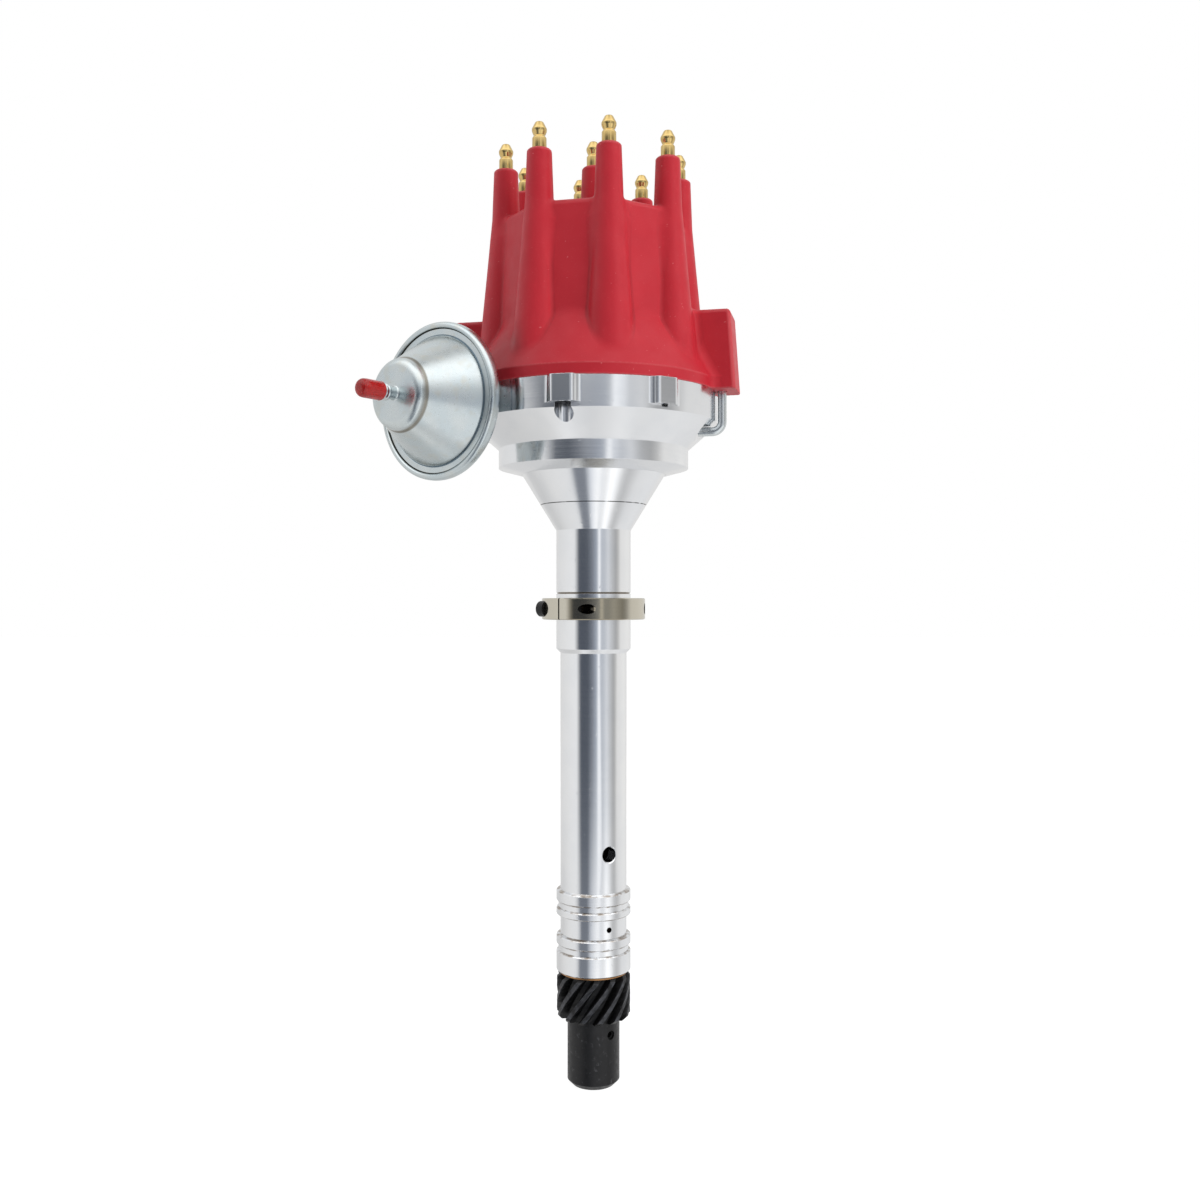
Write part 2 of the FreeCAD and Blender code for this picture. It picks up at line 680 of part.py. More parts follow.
def lug(angle):
    """Lug on the bowl's side: flat crest, round corners and hollow fillets into the wall."""
    deep = BOWL_RADIUS - WALL_THICKNESS / 2
    crest_middle = Vector(lug_radius, 0, 0)
    crest_end = Vector(lug_radius, LUG_CREST_WIDTH / 2, 0)
    corner = crest_end - Vector(LUG_CORNER, 0, 0)
    hollow_circle = BOWL_RADIUS + LUG_SIDE_FILLET
    apart = LUG_CORNER + LUG_SIDE_FILLET
    opening = (corner.Length ** 2 + hollow_circle ** 2 - apart ** 2) / (2 * corner.Length * hollow_circle)
    turn = math.atan2(corner.y, corner.x) + math.acos(opening)
    hollow = Vector(hollow_circle * math.cos(turn), hollow_circle * math.sin(turn), 0)
    touch = hollow * (BOWL_RADIUS / hollow_circle)
    root = Vector(deep, touch.y, 0)
    outline = Part.Wire([
        edge(root, touch), arc_about(hollow, LUG_SIDE_FILLET, touch, corner),
        arc_about(corner, LUG_CORNER, hollow, crest_end), edge(crest_end, crest_middle),
        edge(crest_middle, Vector(deep, 0, 0)), edge(Vector(deep, 0, 0), root),
    ])
    outline.translate(Vector(0, 0, rim - LUG_HEIGHT))
    side_half = Part.Face(outline).extrude(Vector(0, 0, LUG_HEIGHT))
    other_half = side_half.mirror(Vector(0, 0, 0), Vector(0, 1, 0))
    return facing(side_half.fuse(other_half).removeSplitter(), angle)


def housing_bowl():
    shell = turned([
        (SPIGOT_RADIUS + SEAT_CLEARANCE, seam), (seam_radius, seam),
        (CONE_TOP_RADIUS, cone_top), (CONE_TOP_RADIUS, cone_top - UNDERSIDE_LIP),
        (BOWL_FLANGE_RADIUS, flange_low), (BOWL_FLANGE_RADIUS, flange_high),
        (BOWL_RADIUS, wall_low), (BOWL_RADIUS, rim),
        (register_radius, rim), (register_radius, rim + REGISTER_HEIGHT),
        (register_radius - REGISTER_THICKNESS, rim + REGISTER_HEIGHT),
        (register_radius - REGISTER_THICKNESS, rim),
        (upper_well_radius, rim), (upper_well_radius, ledge),
        (well_radius, ledge), (well_radius, floor),
        (BOSS_RADIUS, floor), (BOSS_RADIUS, boss_top),
        (UPPER_BUSH_RADIUS + SEAT_CLEARANCE, boss_top),
        (UPPER_BUSH_RADIUS + SEAT_CLEARANCE, spigot_top),
        (SPIGOT_RADIUS + SEAT_CLEARANCE, spigot_top),
    ])
    shell = shell.fuse([lug(angle) for angle in LUG_ANGLES])
    cutters = []
    bore_top = rim - LUG_BORE_TOP_WALL
    for angle in (LUG_ANGLES[0], LUG_ANGLES[2]):
        centre = polar(BOWL_RADIUS - LUG_BORE_INSET, angle)
        cutters.append(disc(LUG_BORE_RADIUS, flange_low, bore_top, (centre.x, centre.y)))
    for angle in (LUG_ANGLES[1], LUG_ANGLES[3]):
        centre = polar(BOWL_RADIUS - SMALL_BORE_INSET, angle)
        low = rim - LUG_HEIGHT
        cutters.append(disc(SMALL_BORE_RADIUS, low - CUT_MARGIN, low + SMALL_BORE_DEPTH,
                            (centre.x, centre.y)))
    pocket_low = hook_height - LATCH_ROD_RADIUS - LATCH_TRAVEL - HOOK_CATCH_GAP
    for angle in EAR_ANGLES:
        centre = polar(latch_radius, angle)
        reach = HOOK_LENGTH + POCKET_CLEARANCE
        cutters.append(disc(reach, pocket_low, hook_catch, (centre.x, centre.y)))
    cutters.append(rod(OUTLET_RADIUS, polar(well_radius, OUTLET_ANGLE, rim - OUTLET_BELOW_RIM),
                       polar(lug_radius, OUTLET_ANGLE, rim - OUTLET_BELOW_RIM)))
    half_slot = BRACKET_ARM_WIDTH / 2 + BRACKET_SLOT_CLEARANCE
    slot = block(-BOWL_RADIUS, 0, -half_slot, half_slot,
                 ledge - canister_height, rim + REGISTER_HEIGHT - canister_height)
    cutters.append(in_canister_frame(slot))
    for place in bracket_screw_places():
        cutters.append(disc(BRACKET_SCREW_RADIUS, ledge - BRACKET_SCREW_BITE, ledge, place))
    for place in module_screw_places():
        cutters.append(disc(MODULE_SCREW_RADIUS, floor - MODULE_SCREW_BITE, floor, place))
    return shell.cut(cutters)


# Shaft, drive gear and their pin

def main_shaft():
    shaft = turned([
        (0, hub_bottom), (SHAFT_RADIUS, hub_bottom), (SHAFT_RADIUS, plate_high),
        (TOP_JOURNAL_RADIUS, plate_high), (TOP_JOURNAL_RADIUS, journal_top), (0, journal_top),
    ])
    slot = block(-SLOT_WIDTH / 2, SLOT_WIDTH / 2, -HUB_RADIUS, HUB_RADIUS,
                 hub_bottom, hub_bottom + SLOT_DEPTH)
    return shaft.cut([slot, pin_bore()])


def pin_bore():
    end = polar(HUB_RADIUS + CUT_MARGIN, ROLL_PIN_ANGLE, 0)
    return rod(ROLL_PIN_RADIUS + SEAT_CLEARANCE, Vector(-end.x, -end.y, pin_height),
               Vector(end.x, end.y, pin_height))


def gear_ring(height, turn):
    """Corners of the toothed rim at one height, turned by an angle in radians."""
    pitch = 2 * math.pi / GEAR_TEETH
    half_tip = pitch * GEAR_TIP_SHARE / 2
    half_root = pitch * GEAR_ROOT_SHARE / 2
    corners = []
    for tooth in range(GEAR_TEETH):
        middle = tooth * pitch + turn
        for radius, angle in (
                (GEAR_ROOT_RADIUS, middle - half_root), (GEAR_TIP_RADIUS, middle - half_tip),
                (GEAR_TIP_RADIUS, middle + half_tip), (GEAR_ROOT_RADIUS, middle + half_root)):
            corners.append(Vector(radius * math.cos(angle), radius * math.sin(angle), height))
    return corners


def toothed_rim():
    """Helical teeth as flat facets between turned copies of one outline."""
    twist = GEAR_WIDTH * math.tan(math.radians(GEAR_HELIX_ANGLE)) / GEAR_TIP_RADIUS
    rings = []
    for step in range(GEAR_STEPS + 1):
        share = step / GEAR_STEPS
        rings.append(gear_ring(gear_bottom + share * GEAR_WIDTH, share * twist))
    faces = [Part.Face(Part.makePolygon(ring + ring[:1])) for ring in (rings[0], rings[-1])]
    for low, high in zip(rings, rings[1:]):
        for k in range(len(low)):
            after = (k + 1) % len(low)
            for corners in ((low[k], low[after], high[after]), (low[k], high[after], high[k])):
                faces.append(Part.Face(Part.makePolygon(list(corners) + [corners[0]])))
    return closed_solid(faces)


def drive_gear():
    chamfered = turned([
        (0, gear_bottom), (GEAR_TIP_RADIUS - GEAR_TOOTH_CHAMFER, gear_bottom),
        (GEAR_TIP_RADIUS, gear_bottom + GEAR_TOOTH_CHAMFER),
        (GEAR_TIP_RADIUS, gear_top - GEAR_TOOTH_CHAMFER),
        (GEAR_TIP_RADIUS - GEAR_TOOTH_CHAMFER, gear_top), (0, gear_top),
    ])
    hub = turned([
        (0, hub_bottom), (HUB_RADIUS - HUB_CHAMFER, hub_bottom),
        (HUB_RADIUS, hub_bottom + HUB_CHAMFER), (HUB_RADIUS, gear_top), (0, gear_top),
    ])
    bore = disc(SHAFT_RADIUS + SEAT_CLEARANCE, hub_bottom, gear_top)
    return toothed_rim().common(chamfered).fuse(hub).cut([bore, pin_bore()])


def gear_roll_pin():
    end = polar(HUB_RADIUS - ROLL_PIN_RECESS, ROLL_PIN_ANGLE, 0)
    start_point = Vector(-end.x, -end.y, pin_height)
    end_point = Vector(end.x, end.y, pin_height)
    return rod(ROLL_PIN_RADIUS, start_point, end_point).cut(
        rod(ROLL_PIN_RADIUS - ROLL_PIN_WALL, start_point, end_point))


def gear_thrust_washer():
    low = gear_top + END_FLOAT
    return tube(THRUST_WASHER_RADIUS, SHAFT_RADIUS + BEARING_CLEARANCE,
                low, low + THRUST_WASHER_THICKNESS)


# Slip collar: split clamp ring on the upper land

def in_split_frame(shape):
    """Place a shape drawn with the split along +X and the clamp screw along Y."""
    placed = facing(shape, COLLAR_SPLIT_ANGLE)
    placed.translate(Vector(0, 0, collar_low + COLLAR_WIDTH / 2))
    return placed


def slip_collar():
    bore = UPPER_LAND_RADIUS + COLLAR_BORE_CLEARANCE
    high = collar_low + COLLAR_WIDTH
    body = turned([
        (bore, collar_low), (COLLAR_RADIUS - COLLAR_CHAMFER, collar_low),
        (COLLAR_RADIUS, collar_low + COLLAR_CHAMFER), (COLLAR_RADIUS, high - COLLAR_CHAMFER),
        (COLLAR_RADIUS - COLLAR_CHAMFER, high), (bore, high),
    ])
    half = COLLAR_SPLIT_WIDTH / 2
    split = block(bore - CUT_MARGIN, COLLAR_RADIUS + CUT_MARGIN, -half, half,
                  -COLLAR_WIDTH, COLLAR_WIDTH)
    line = CLAMP_SCREW_OFFSET
    exit_reach = math.sqrt(COLLAR_RADIUS ** 2 - line ** 2)
    head_hole = rod(CLAMP_HEAD_RADIUS + SCREW_CLEARANCE, Vector(line, -CLAMP_HEAD_SEAT, 0),
                    Vector(line, -COLLAR_RADIUS, 0))
    shank_hole = rod(CLAMP_SCREW_RADIUS + SCREW_CLEARANCE, Vector(line, -COLLAR_RADIUS, 0),
                     Vector(line, COLLAR_RADIUS, 0))
    exit_hole = rod(CLAMP_EXIT_RADIUS, Vector(line, exit_reach - CLAMP_EXIT_DEPTH, 0),
                    Vector(line, COLLAR_RADIUS, 0))
    middle = collar_low + COLLAR_WIDTH / 2
    set_hole = rod(SET_SCREW_RADIUS + SCREW_CLEARANCE,
                   polar(bore - CUT_MARGIN, SET_SCREW_ANGLE, middle),
                   polar(COLLAR_RADIUS + CUT_MARGIN, SET_SCREW_ANGLE, middle))
    cutters = [in_split_frame(cut) for cut in (split, head_hole, shank_hole, exit_hole)]
    return body.cut(cutters + [set_hole])


def hexagon(reach, height):
    """Six sided prism standing on the XY plane."""
    corners = [polar(reach, 360 * side / HEX_SIDES) for side in range(HEX_SIDES)]
    return prism([(corner.x, corner.y) for corner in corners], 0, height)


def collar_clamp_screw():
    line = CLAMP_SCREW_OFFSET
    head_end = -CLAMP_HEAD_SEAT - CLAMP_HEAD_LENGTH
    shank_end = math.sqrt(COLLAR_RADIUS ** 2 - line ** 2) - CLAMP_EXIT_DEPTH
    head = rod(CLAMP_HEAD_RADIUS, Vector(line, -CLAMP_HEAD_SEAT, 0), Vector(line, head_end, 0))
    shank = rod(CLAMP_SCREW_RADIUS, Vector(line, -CLAMP_HEAD_SEAT, 0), Vector(line, shank_end, 0))
    key = hexagon(CLAMP_HEX_RADIUS, CLAMP_HEAD_LENGTH / 2)
    key.rotate(Vector(0, 0, 0), Vector(1, 0, 0), -90)
    key.translate(Vector(line, head_end, 0))
    return in_split_frame(head.fuse(shank).cut(key))


def collar_set_screw():
    middle = collar_low + COLLAR_WIDTH / 2
    start = UPPER_LAND_RADIUS + SET_SCREW_RECESS
    inner = polar(start, SET_SCREW_ANGLE, middle)
    outer = polar(start + SET_SCREW_LENGTH, SET_SCREW_ANGLE, middle)
    return rod(SET_SCREW_RADIUS, inner, outer)


# Cap: eight sided body with tapering ribs under the towers, flared skirt and two ears

def octagon(apothem, height):
    """Outline with a flat in the middle of each gap between towers."""
    reach = apothem / math.cos(math.pi / TOWER_COUNT)
    step = 360.0 / TOWER_COUNT
    corners = [polar(reach, TOWER_FIRST_ANGLE + k * step, height) for k in range(TOWER_COUNT)]
    return Part.makePolygon(corners + corners[:1])


def cap_body():
    low = rim + CAP_BAND_HEIGHT
    outlines = [octagon(cap_flat_top + CAP_FLAT_LEAN, low), octagon(cap_flat_top, cap_top)]
    body = Part.makeLoft(outlines, True, True)
    top_edges = [e for e in body.Edges if min(v.Z for v in e.Vertexes) > cap_top - EDGE_REACH]
    return body.makeFillet(CAP_EDGE_ROUND, top_edges)


def cap_skirt():
    band_top = rim + CAP_BAND_HEIGHT
    skirt_top = rim + SKIRT_HEIGHT
    start = Vector(cap_flange_radius, 0, band_top)
    middle = Vector(skirt_waist_radius, 0, skirt_top - SKIRT_WAIST_DROP)
    end = Vector(skirt_top_radius, 0, skirt_top)
    flare = Part.Arc(start, middle, end).toShape()
    corners = [end, Vector(0, 0, skirt_top), Vector(0, 0, rim), Vector(cap_flange_radius, 0, rim), start]
    edges = [edge(a, b) for a, b in zip(corners, corners[1:])]
    return revolve([flare] + edges)


def tower(angle):
    centre = polar(tower_circle_radius, angle)
    place = (centre.x, centre.y)
    neck = tower_top - TOWER_CHAMFER
    rib = cone(RIB_FOOT_RADIUS, TOWER_FOOT_RADIUS, rim + RIB_FOOT_HEIGHT, cap_top, place)
    post = cone(TOWER_FOOT_RADIUS, TOWER_TOP_RADIUS, cap_top, neck, place)
    tip = cone(TOWER_TOP_RADIUS, TOWER_TOP_RADIUS - TOWER_CHAMFER, neck, tower_top, place)
    return rib.fuse([post, tip])


def centre_tower():
    neck = centre_tower_top - TOWER_CHAMFER
    post = cone(TOWER_FOOT_RADIUS, TOWER_TOP_RADIUS, cap_top - CAP_TOP_THICKNESS, neck)
    tip = cone(TOWER_TOP_RADIUS, TOWER_TOP_RADIUS - TOWER_CHAMFER, neck, centre_tower_top)
    return post.fuse(tip)


def ear():
    """Ear drawn towards +X, outer face leaning in towards the top."""
    root = cap_flange_radius - EAR_ROOT_INSET
    points = [(root, rim), (ear_radius, rim), (ear_radius - EAR_TAPER, ear_top), (root, ear_top)]
    profile = Part.Face(Part.Wire(lines(points)))
    profile.translate(Vector(0, -EAR_WIDTH / 2, 0))
    body = profile.extrude(Vector(0, EAR_WIDTH, 0))
    outer = [e for e in body.Edges
             if min(v.X for v in e.Vertexes) > ear_radius - EAR_TAPER - EDGE_REACH
             and max(v.Z for v in e.Vertexes) > ear_top - EDGE_REACH]
    return body.makeFillet(EAR_CORNER, outer)


def cap_cavity():
    band = cap_flange_radius - CAP_BAND_WALL
    return turned([
        (0, rim), (band, rim), (band, rim + CAVITY_BAND_HEIGHT),
        (skirt_waist_radius - CAP_WALL, rim + CAVITY_FLARE_HEIGHT),
        (skirt_top_radius - CAP_WALL, rim + CAVITY_WAIST_HEIGHT),
        (cap_flat_top - CAVITY_TOP_WALL, cap_ceiling), (0, cap_ceiling),
    ])


def tower_angles():
    return [TOWER_FIRST_ANGLE + k * 360.0 / TOWER_COUNT for k in range(TOWER_COUNT)]


def distributor_cap():
    solid = cap_skirt().fuse([cap_body()] + [facing(ear(), angle) for angle in EAR_ANGLES])
    solid = solid.fuse([tower(angle) for angle in tower_angles()] + [centre_tower()])
    cutters = []
    stem_hole = TERMINAL_STEM_RADIUS + SEAT_CLEARANCE
    for angle in tower_angles():
        centre = polar(tower_circle_radius, angle)
        cutters.append(disc(stem_hole, cap_ceiling - TERMINAL_INSIDE, tower_top, (centre.x, centre.y)))
    cutters.append(disc(stem_hole, button_room_top, centre_tower_top))
    cutters.append(disc(BUTTON_RADIUS + BUTTON_CLEARANCE, cap_ceiling, button_room_top))
    for angle in EAR_ANGLES:
        centre = polar(latch_radius, angle)
        place = (centre.x, centre.y)
        cutters.append(disc(LATCH_ROD_RADIUS + LATCH_ROD_CLEARANCE, rim, latch_floor, place))
        cutters.append(disc(LATCH_BORE_RADIUS, latch_floor, ear_top, place))
    solid = solid.cut(cap_cavity())
    return solid.cut(cutters).removeSplitter()


def terminal(low, seat, place=(0.0, 0.0)):
    """Brass snap terminal: stem moulded into the tower, collar, neck and bulb above it."""
    bulb_low = seat + TERMINAL_BULB_LOW
    bulb_high = seat + TERMINAL_BULB_HIGH
    solid = turned([
        (0, low), (TERMINAL_STEM_RADIUS, low), (TERMINAL_STEM_RADIUS, seat),
        (TERMINAL_RADIUS, seat), (TERMINAL_RADIUS, seat + TERMINAL_COLLAR),
        (TERMINAL_NECK_RADIUS, seat + TERMINAL_COLLAR + TERMINAL_CHAMFER),
        (TERMINAL_RADIUS, bulb_low), (TERMINAL_RADIUS, bulb_high),
        (TERMINAL_TIP_RADIUS, seat + TERMINAL_HEIGHT), (0, seat + TERMINAL_HEIGHT),
    ])
    solid.translate(Vector(place[0], place[1], 0))
    return solid


def plug_terminals():
    studs = []
    for angle in tower_angles():
        centre = polar(tower_circle_radius, angle)
        studs.append(terminal(cap_ceiling - TERMINAL_INSIDE, tower_top, (centre.x, centre.y)))
    return Part.makeCompound(studs)


def coil_terminal():
    return terminal(button_room_top, centre_tower_top)


def carbon_button():
    return disc(BUTTON_RADIUS, button_bottom, button_top)


def carbon_button_spring():
    return coil_spring(BUTTON_SPRING_RADIUS, BUTTON_SPRING_WIRE, button_top, button_room_top,
                       BUTTON_SPRING_TURNS)


# Latches: screwdriver head, rod with hooked foot, washer and spring

def latch_rod(angle):
    """Rod drawn at the latch radius towards +X, hook pointing inwards."""
    bend_top = Vector(latch_radius, 0, hook_height + HOOK_BEND)
    bend_in = Vector(latch_radius - HOOK_BEND, 0, hook_height)
    corner = Vector(latch_radius, 0, hook_height)
    top = Vector(latch_radius, 0, latch_head_low)
    tip = Vector(latch_radius - HOOK_LENGTH, 0, hook_height)
    path = Part.Wire([edge(top, bend_top), bend(bend_top, corner, bend_in), edge(bend_in, tip)])
    section = Part.Wire(Part.makeCircle(LATCH_ROD_RADIUS, top, Vector(0, 0, -1)))
    bent = path.makePipeShell([section], True, False)
    head = disc(LATCH_HEAD_RADIUS, latch_head_low, latch_head_top, (latch_radius, 0.0))
    half = LATCH_SLOT_WIDTH / 2
    slot = block(latch_radius - LATCH_HEAD_RADIUS, latch_radius + LATCH_HEAD_RADIUS, -half, half,
                 latch_head_top - LATCH_SLOT_DEPTH, latch_head_top)
    return facing(bent.fuse(head.cut(slot)), angle)


def latch_washer(angle):
    ring = tube(LATCH_WASHER_RADIUS, LATCH_ROD_RADIUS + BEARING_CLEARANCE,
                latch_washer_low, latch_head_low)
    ring.translate(polar(latch_radius, angle))
    return ring


def latch_spring(angle):
    spring = coil_spring(LATCH_SPRING_RADIUS, LATCH_SPRING_WIRE, latch_floor, latch_washer_low,
                         LATCH_SPRING_TURNS)
    spring.translate(polar(latch_radius, angle))
    return spring


# Rotor, drawn with its arm towards +X and turned to the first tower

def rotor():
    base = disc(ROTOR_BASE_RADIUS, rotor_low, rotor_base_top)
    column = cone(ROTOR_COLUMN_FOOT, ROTOR_COLUMN_TOP, rotor_base_top, rotor_top)
    half = ROTOR_ARM_WIDTH / 2
    arm = block(0, rotor_arm_length, -half, half, rotor_top - ROTOR_ARM_DEPTH, rotor_top)
    web_top = rotor_top - ROTOR_ARM_DEPTH
    inset = ROTOR_WEB_INSET
    web_points = [(ROTOR_COLUMN_TOP, rotor_base_top), (ROTOR_BASE_RADIUS - inset, rotor_base_top),
                  (rotor_arm_length - inset, web_top), (ROTOR_COLUMN_TOP - inset, web_top)]
    web = Part.Face(Part.Wire(lines(web_points)))
    web.translate(Vector(0, -ROTOR_WEB_THICKNESS / 2, 0))
    web = web.extrude(Vector(0, ROTOR_WEB_THICKNESS, 0))
    body = base.fuse([column, arm, web])
    holes = [disc(ROTOR_SCREW_RADIUS + SCREW_CLEARANCE, rotor_low, rotor_base_top, (x, 0.0))
             for x in (-SPACER_PLACE, SPACER_PLACE)]
    head_seats = [disc(ROTOR_SEAT_RADIUS, rotor_base_top, web_top, (x, 0.0))
                  for x in (-SPACER_PLACE, SPACER_PLACE)]
    return facing(body.cut(holes + head_seats), TOWER_FIRST_ANGLE)


def rotor_contact():
    """Sprung brass strip from under the carbon button out to the rotor's tip."""
    low = rotor_top
    high = rotor_top + CONTACT_THICKNESS
    crest = button_bottom - BUTTON_GAP
    under = crest - CONTACT_THICKNESS
    pad = CONTACT_PAD_OUTER
    points = [(rotor_tip, low), (rotor_tip, high), (CONTACT_BEND + CONTACT_LEAN, high),
              (pad, crest), (-CONTACT_PAD_INNER, crest), (-CONTACT_PAD_INNER, under),
              (pad - CONTACT_LEAN, under), (CONTACT_BEND, low)]
    strip = Part.Face(Part.Wire(lines(points)))
    strip.translate(Vector(0, -CONTACT_WIDTH / 2, 0))
    return facing(strip.extrude(Vector(0, CONTACT_WIDTH, 0)), TOWER_FIRST_ANGLE)


def rotor_screws():
    screws = []
    for x in (-SPACER_PLACE, SPACER_PLACE):
        shank = disc(ROTOR_SCREW_RADIUS, rotor_base_top - ROTOR_SCREW_GRIP, rotor_base_top, (x, 0.0))
        head = disc(ROTOR_SCREW_HEAD, rotor_base_top, rotor_base_top + ROTOR_SCREW_HEAD_HEIGHT, (x, 0.0))
        screws.append(facing(head.fuse(shank), TOWER_FIRST_ANGLE))
    return Part.makeCompound(screws)


# Centrifugal advance, drawn along X and turned with the rotor

def both_ways(shape):
    """A shape and its copy half a turn round."""
    other = shape.copy()
    other.rotate(Vector(0, 0, 0), Vector(0, 0, 1), 180)
    return [shape, other]


def advance_sleeve():
    bore = SHAFT_RADIUS + BEARING_CLEARANCE
    plate = disc(PLATE_RADIUS, plate_low, plate_high)
    half = PLATE_ARM_WIDTH / 2
    arms = block(-PLATE_ARM_RADIUS, PLATE_ARM_RADIUS, -half, half, plate_low, plate_high)
    spacers = both_ways(disc(SPACER_RADIUS, plate_high, rotor_low, (SPACER_PLACE, 0.0)))
    body = plate.fuse([arms, disc(SLEEVE_RADIUS, sleeve_low, plate_low)] + spacers)
    pin_holes = both_ways(disc(WEIGHT_PIN_RADIUS + SEAT_CLEARANCE, plate_low, plate_high, WEIGHT_PIVOT))
    grip = rotor_base_top - ROTOR_SCREW_GRIP
    screw_bore = ROTOR_SCREW_RADIUS + SCREW_CLEARANCE
    screw_holes = both_ways(disc(screw_bore, grip, rotor_low, (SPACER_PLACE, 0.0)))
    body = body.cut([disc(bore, sleeve_low, plate_high)] + pin_holes + screw_holes)
    return facing(body, TOWER_FIRST_ANGLE)


def weight_pins():
    pin = disc(WEIGHT_PIN_RADIUS, plate_low, plate_high + WEIGHT_PIN_HEIGHT, WEIGHT_PIVOT)
    return Part.makeCompound([facing(p, TOWER_FIRST_ANGLE) for p in both_ways(pin)])


def flyweights():
    """The two crescent weights, each swinging on its own pin."""
    crescent = disc(WEIGHT_OUTER_RADIUS, weight_low, weight_high)
    keep = block(-PLATE_ARM_RADIUS, PLATE_ARM_RADIUS, WEIGHT_INNER_FLAT, PLATE_ARM_RADIUS,
                 weight_low, weight_high)
    eye = disc(WEIGHT_EYE_RADIUS, weight_low, weight_high, WEIGHT_PIVOT)
    hole = disc(WEIGHT_PIN_RADIUS + WEIGHT_PIN_CLEARANCE, weight_low, weight_high, WEIGHT_PIVOT)
    weight = crescent.common(keep).fuse(eye).cut(hole)
    return [facing(w, TOWER_FIRST_ANGLE) for w in both_ways(weight)]


def advance_cam():
    ends = CAM_HALF_LENGTH - CAM_HALF_WIDTH
    bar = block(-ends, ends, -CAM_HALF_WIDTH, CAM_HALF_WIDTH, weight_low, weight_high)
    rounds = both_ways(disc(CAM_HALF_WIDTH, weight_low, weight_high, (ends, 0.0)))
    posts = both_ways(disc(CAM_POST_RADIUS, weight_high, weight_high + CAM_POST_HEIGHT,
                           (CAM_POST_PLACE, 0.0)))
    bore = disc(TOP_JOURNAL_RADIUS + SEAT_CLEARANCE, weight_low, weight_high)
    return facing(bar.fuse(rounds + posts).cut(bore), TOWER_FIRST_ANGLE)


def cam_clip():
    ring = tube(CAM_CLIP_RADIUS, TOP_JOURNAL_RADIUS + SEAT_CLEARANCE,
                weight_high, weight_high + CAM_CLIP_THICKNESS)
    mouth = block(0, CAM_CLIP_RADIUS, -TOP_JOURNAL_RADIUS / 2, TOP_JOURNAL_RADIUS / 2,
                  weight_high, weight_high + CAM_CLIP_THICKNESS)
    return facing(ring.cut(mouth), TOWER_FIRST_ANGLE + 90)


def hook_loop(place, radius, start_angle):
    """Points of an open loop round a post that stands at a place along x."""
    points = []
    for step in range(HOOK_STEPS + 1):
        turn = math.radians(start_angle + HOOK_SWEEP * step / HOOK_STEPS)
        points.append(Vector(place + radius * math.cos(turn), radius * math.sin(turn), 0))
    return points


def advance_springs():
    """Two tension springs, from each weight pin to the cam's post beside it."""
    pin = Vector(WEIGHT_PIVOT[0], WEIGHT_PIVOT[1], 0)
    post = Vector(-CAM_POST_PLACE, 0, 0)
    run = post - pin
    pin_ring = WEIGHT_PIN_RADIUS + ADVANCE_HOOK_CLEARANCE + ADVANCE_SPRING_WIRE
    post_ring = CAM_POST_RADIUS + ADVANCE_HOOK_CLEARANCE + ADVANCE_SPRING_WIRE
    coil_low = pin_ring + 2 * ADVANCE_SPRING_WIRE
    coil_high = run.Length - post_ring - 2 * ADVANCE_SPRING_WIRE
    coil = coil_points(ADVANCE_SPRING_RADIUS, coil_low, coil_high, ADVANCE_SPRING_TURNS)
    path = hook_loop(0, pin_ring, HOOK_SWEEP / 4)
    path += [Vector(p.z, -p.x, p.y) for p in coil]
    path += hook_loop(run.Length, post_ring, -HOOK_SWEEP / 2)
    spring = wire_along(path, ADVANCE_SPRING_WIRE)
    spring.rotate(Vector(0, 0, 0), Vector(0, 0, 1), math.degrees(math.atan2(run.y, run.x)))
    height = plate_high + WEIGHT_PIN_HEIGHT - ADVANCE_SPRING_DROP
    spring.translate(Vector(pin.x, pin.y, height))
    return [facing(s, TOWER_FIRST_ANGLE) for s in both_ways(spring)]


def upper_thrust_washer():
    low = boss_top + WASHER_PLAY
    return tube(UPPER_WASHER_RADIUS, SHAFT_RADIUS + BEARING_CLEARANCE, low,
                low + UPPER_WASHER_THICKNESS)


def reluctor():
    high = plate_low
    low = high - RELUCTOR_HEIGHT
    half = RELUCTOR_TOOTH_WIDTH / 2
    tooth = block(0, RELUCTOR_RADIUS, -half, half, low, high)
    teeth = []
    for k in range(RELUCTOR_TEETH):
        teeth.append(facing(tooth, TOWER_FIRST_ANGLE + k * 360.0 / RELUCTOR_TEETH))
    star = disc(RELUCTOR_ROOT, low, high).fuse(teeth)
    star = star.common(disc(RELUCTOR_RADIUS, low, high))
    return star.cut(disc(SLEEVE_RADIUS + SEAT_CLEARANCE, low, high))


# Pickup: plate that the vacuum rod turns, pole and coil

def pickup_angle():
    return TOWER_FIRST_ANGLE + PICKUP_TOWER_STEP * 360.0 / TOWER_COUNT


def rod_foot():
    """Point on the rod's line nearest the shaft, where the plate's pin stands."""
    turn = math.radians(CANISTER_ANGLE)
    return (-canister_offset * math.cos(turn), canister_offset * math.sin(turn))


def pickup_plate():
    bore = BOSS_RADIUS + PICKUP_CLEARANCE
    plate = disc(pickup_plate_radius, pickup_low, pickup_top)
    hub = disc(PICKUP_HUB_RADIUS, pickup_top - PICKUP_HUB_HEIGHT, pickup_low)
    pin = disc(PLATE_PIN_RADIUS, pickup_top, pickup_top + PLATE_PIN_HEIGHT, rod_foot())
    body = plate.fuse([hub, pin])
    return body.cut(disc(bore, pickup_top - PICKUP_HUB_HEIGHT, pickup_top))


def coil_height():
    return plate_low - POLE_BELOW_PLATE


